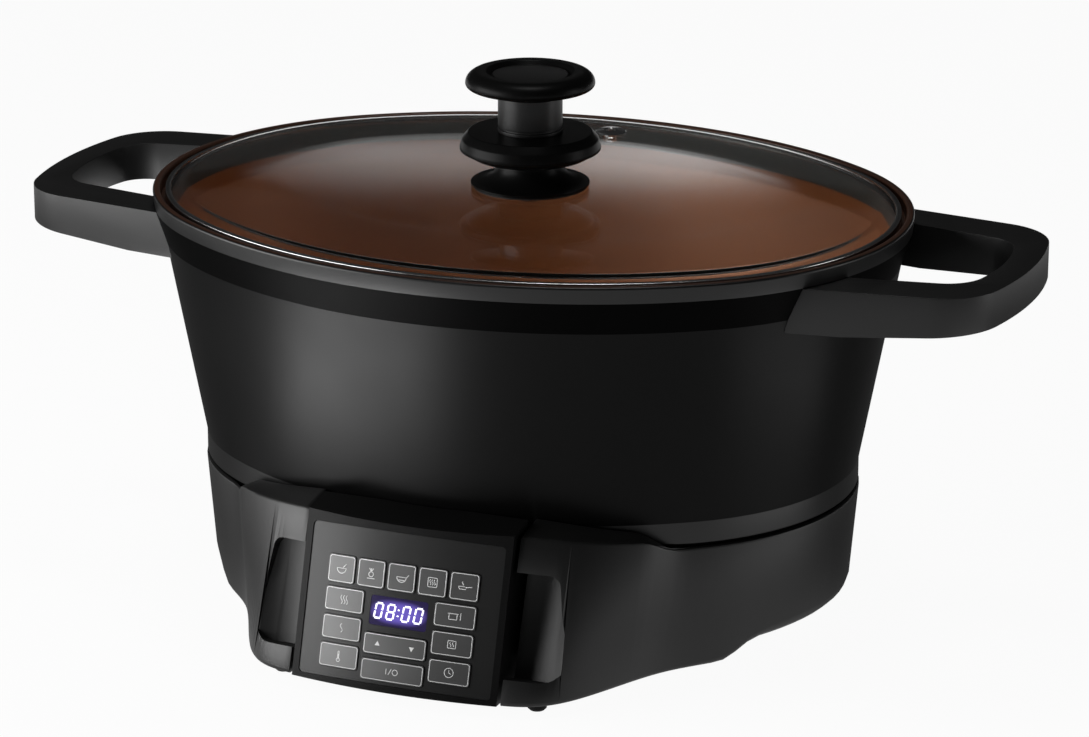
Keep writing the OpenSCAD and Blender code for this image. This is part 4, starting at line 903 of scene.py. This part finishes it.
# %% Signs
bowl = (arc(0, 0.3, 2.2, 180, 360), True)
thermometer = [
    (arc(0, -1.7, 0.8, 110, 430) + arc(0, 1.8, 0.3, 0, 180, 6), True),
    line((0, -1.6), (0, 0.9)),
]
clock = [(arc(0, 0, 2.0, 0, 345, 22), True), line((0, 1.3), (0, 0), (0.9, -0.5))]
signs = {
    "mode_key_1": [bowl, line((0.6, 0.6), (2.2, 2.3))],
    "mode_key_2": [(arc(0, -0.4, 1.1, 0, 345, 14), True)]
    + [line((0.2 * x, 1.0), (x, 2.2)) for x in (-1, 0, 1)]
    + [line((-1.8, -2.2), (1.8, -2.2))],
    "mode_key_3": [bowl, line((2.1, 0.1), (3.3, 1.5)), line((-1.4, -1.0), (1.4, -1.0))],
    "mode_key_4": [box_line(4.2, 4.0, 0.5)] + [wave(x, -1.2, 2.4) for x in (-1, 0, 1)],
    "mode_key_5": [line((-2.6, 0), (-2.2, -1.1), (0.6, -1.1), (1.0, 0), (-2.6, 0)),
                   line((1.0, -0.2), (3.4, 0.2)), wave(-0.8, 0.6, 1.5)],
    "left_key_1": [wave(x, -1.9, 3.8, 0.45) for x in (-1.3, 0, 1.3)],
    "left_key_2": [wave(0, -1.9, 3.8, 0.6)],
    "left_key_3": thermometer,
    "right_key_1": [line((-2.6, 1.0), (-2.6, -1.5), (1.0, -1.5), (1.0, 1.0)),
                    line((-3.2, 1.0), (1.6, 1.0)), line((2.6, 1.6), (2.6, -1.5))],
    "right_key_2": [box_line(3.6, 3.2, 0.3), wave(-0.6, -0.9, 1.8), wave(0.6, -0.9, 1.8)],
    "right_key_3": clock,
    "power_key": [line((-2.6, -1.2), (-2.6, 1.2)), line((-1.5, -1.3), (-0.2, 1.3)),
                  (arc(1.6, 0, 1.2, 0, 345, 18), True)],
}
mode_places = [(14.4 * i, 14.01, 13, 12.01) for i in range(-2, 3)]
side_places = [(side * 25.95, 0.95 - 12.21 * row, 18.7, 10.31)
               for side in (-1, 1) for row in range(3)]
key_places = mode_places + side_places + [(0, -26.87, 29.3, 9.11)]
key_top, ink_width, margin = 0.1, 0.34, 1.0
ink_lift = key_top + 0.03
for key, (x, y, w, h) in zip(push_keys, key_places):
    strokes = [box_line(w - margin, h - margin)] + signs[key]
    sign = inked(f"{key}_sign", strokes, (x, y), ink_width, ink_lift, pale_ink)
    dress(sign, key, "key_plastic")

# %% [markdown]
# ## Rocker arrows
# The rocker has an arrow up and an arrow down. A triangle is a circle of three corners,
# filled; it is set in, raised a hair and laid on the bow like the other signs.

# %% Rocker arrows


def arrow(name, x, y, point):
    """A filled triangle that points up (1) or down (-1)."""
    bpy.ops.object.select_all(action="DESELECT")
    bpy.ops.mesh.primitive_circle_add(vertices=3, radius=1.35, fill_type="NGON")
    piece = bpy.context.active_object
    piece.name = piece.data.name = name
    bpy.ops.object.mode_set(mode="EDIT")
    bpy.ops.mesh.inset(thickness=0.15)
    bpy.ops.transform.translate(value=(0, 0, 0.02))
    bpy.ops.object.mode_set(mode="OBJECT")
    for vertex in piece.data.vertices:
        dx, dy, dz = vertex.co
        vertex.co = on_panel(x + dx, y + point * dy, key_top + 0.02 + dz)
    bpy.ops.object.mode_set(mode="EDIT")
    bpy.ops.mesh.select_all(action="SELECT")
    bpy.ops.mesh.normals_make_consistent(inside=False)
    bpy.ops.object.mode_set(mode="OBJECT")
    piece.data.materials.append(pale_ink)
    return piece


rocker_y = -15.66
for name, x, point in (("arrow_up", -8, 1), ("arrow_down", 8, -1)):
    dress(arrow(name, x, rocker_y, point), "rocker", "key_plastic")
rocker_line = inked("rocker_sign", [box_line(28.3, 8.11)], (0, rocker_y), ink_width, ink_lift,
                    pale_ink)
dress(rocker_line, "rocker", "key_plastic")

# %% [markdown]
# ## Digits
# The display shows four digits of seven bars each, leaning a little. Each bar is a thick
# short stroke on the window, so the digits are real shapes that glow.

# %% Digits
bar_places = {
    "a": ((-1, 2), (1, 2)), "b": ((1, 2), (1, 0)), "c": ((1, 0), (1, -2)), "d": ((1, -2), (-1, -2)),
    "e": ((-1, -2), (-1, 0)), "f": ((-1, 0), (-1, 2)), "g": ((-1, 0), (1, 0)),
}
figures = {"0": "abcdef", "8": "abcdefg"}
figure_places = (-9.3, -3.6, 3.6, 9.3)
figure_size, bar_gap, bar_lean, bar_width = 1.6, 0.3, 0.14, 1.0
window_face = -0.62
strokes = []
for figure, x in zip("0800", figure_places):
    for bar in figures[figure]:
        ends = [Vector(point) * figure_size for point in bar_places[bar]]
        gap = (ends[1] - ends[0]).normalized() * bar_gap
        ends = (ends[0] + gap, ends[1] - gap)
        strokes.append(line(*[(x + p.x + bar_lean * p.y, p.y) for p in ends]))
strokes += [line((0.0, 1.0), (0.1, 1.6)), line((-0.2, -1.6), (-0.1, -1.0))]
digits = inked("display_digits", strokes, (0, window_y), bar_width, window_face, digit_white)
dress(digits, "base", "display_tint")

# %% [markdown]
# ## Sensor spring
# A coil spring holds the heat sensor's cap up against the pot. A ring of wire is drawn,
# and a Screw modifier winds it upwards. The spring stands on the shield and gets shorter
# when the cap is pressed; here it stays with the base at its free length.

# %% Sensor spring
low, high = (Vector(corner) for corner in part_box("sensor_spring"))
spring_foot = Vector(((low.x + high.x) / 2, (low.y + high.y) / 2, low.z))
spring_h = high.z - low.z
wire_r, turns, press = 0.55 * mm, 6, 2.5 * mm
coil_r = (high.x - low.x) / 2 - wire_r
bpy.ops.object.select_all(action="DESELECT")
bpy.ops.mesh.primitive_circle_add(vertices=10, radius=wire_r, location=spring_foot)
spring = bpy.context.active_object
spring.name = spring.data.name = "sensor_coil"
bpy.ops.object.mode_set(mode="EDIT")
bpy.ops.transform.rotate(value=math.pi / 2, orient_axis="X", center_override=spring_foot)
bpy.ops.transform.translate(value=(coil_r, 0, wire_r))
bpy.ops.object.mode_set(mode="OBJECT")
winding = spring.modifiers.new("winding", "SCREW")
winding.screw_offset = (spring_h - 2 * wire_r) / turns
winding.iterations = turns
winding.steps = winding.render_steps = 28
bpy.ops.object.modifier_apply(modifier="winding")
bpy.ops.object.transform_apply(location=True, rotation=True, scale=True)
bpy.ops.object.mode_set(mode="EDIT")
close_up(spring, steel)
dress(spring, "base", "steel", "sensor_spring")
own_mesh(spring)
print("spring", spring.dimensions[:], "free length", spring_h)

# %% [markdown]
# ## Parts that stay as CAD
# Screws, feet, boards and the heater keep their CAD shape, because little of them shows.
# Each gets the finish of what it is made of, chosen by name.

# %% Finishes for the other nodes
by_finish = {
    steel: ["vent_eyelet", "knob_washer", "knob_screw", "handle_screws", "cover_screws",
            "board_screws", "plate_posts", "plate_screws", "rocker_pin", "sensor_spring",
            "sensor_cap"],
    rubber: ["knob_gasket", "feet", "cord_gland"],
    panel_gloss: ["fascia"],
    display_violet: ["display_window"],
    board_green: ["control_board", "power_board"],
    alloy: ["heating_plate", "heat_shield", "sensor_guide"],
    sheath: ["heating_element"],
    ceramic: ["terminal_block", "thermal_fuse"],
    housing_black: ["bottom_cover", "relay", "key_switches", "display_module"],
}
finished = {name: material for material, names in by_finish.items() for name in names}
for name, node in nodes.items():
    material = finished.get(name, inner_grey)
    node.data.materials.clear()
    node.data.materials.append(material)
print("CAD finishes", len(finished), "plain", sorted(set(nodes) - set(finished)))
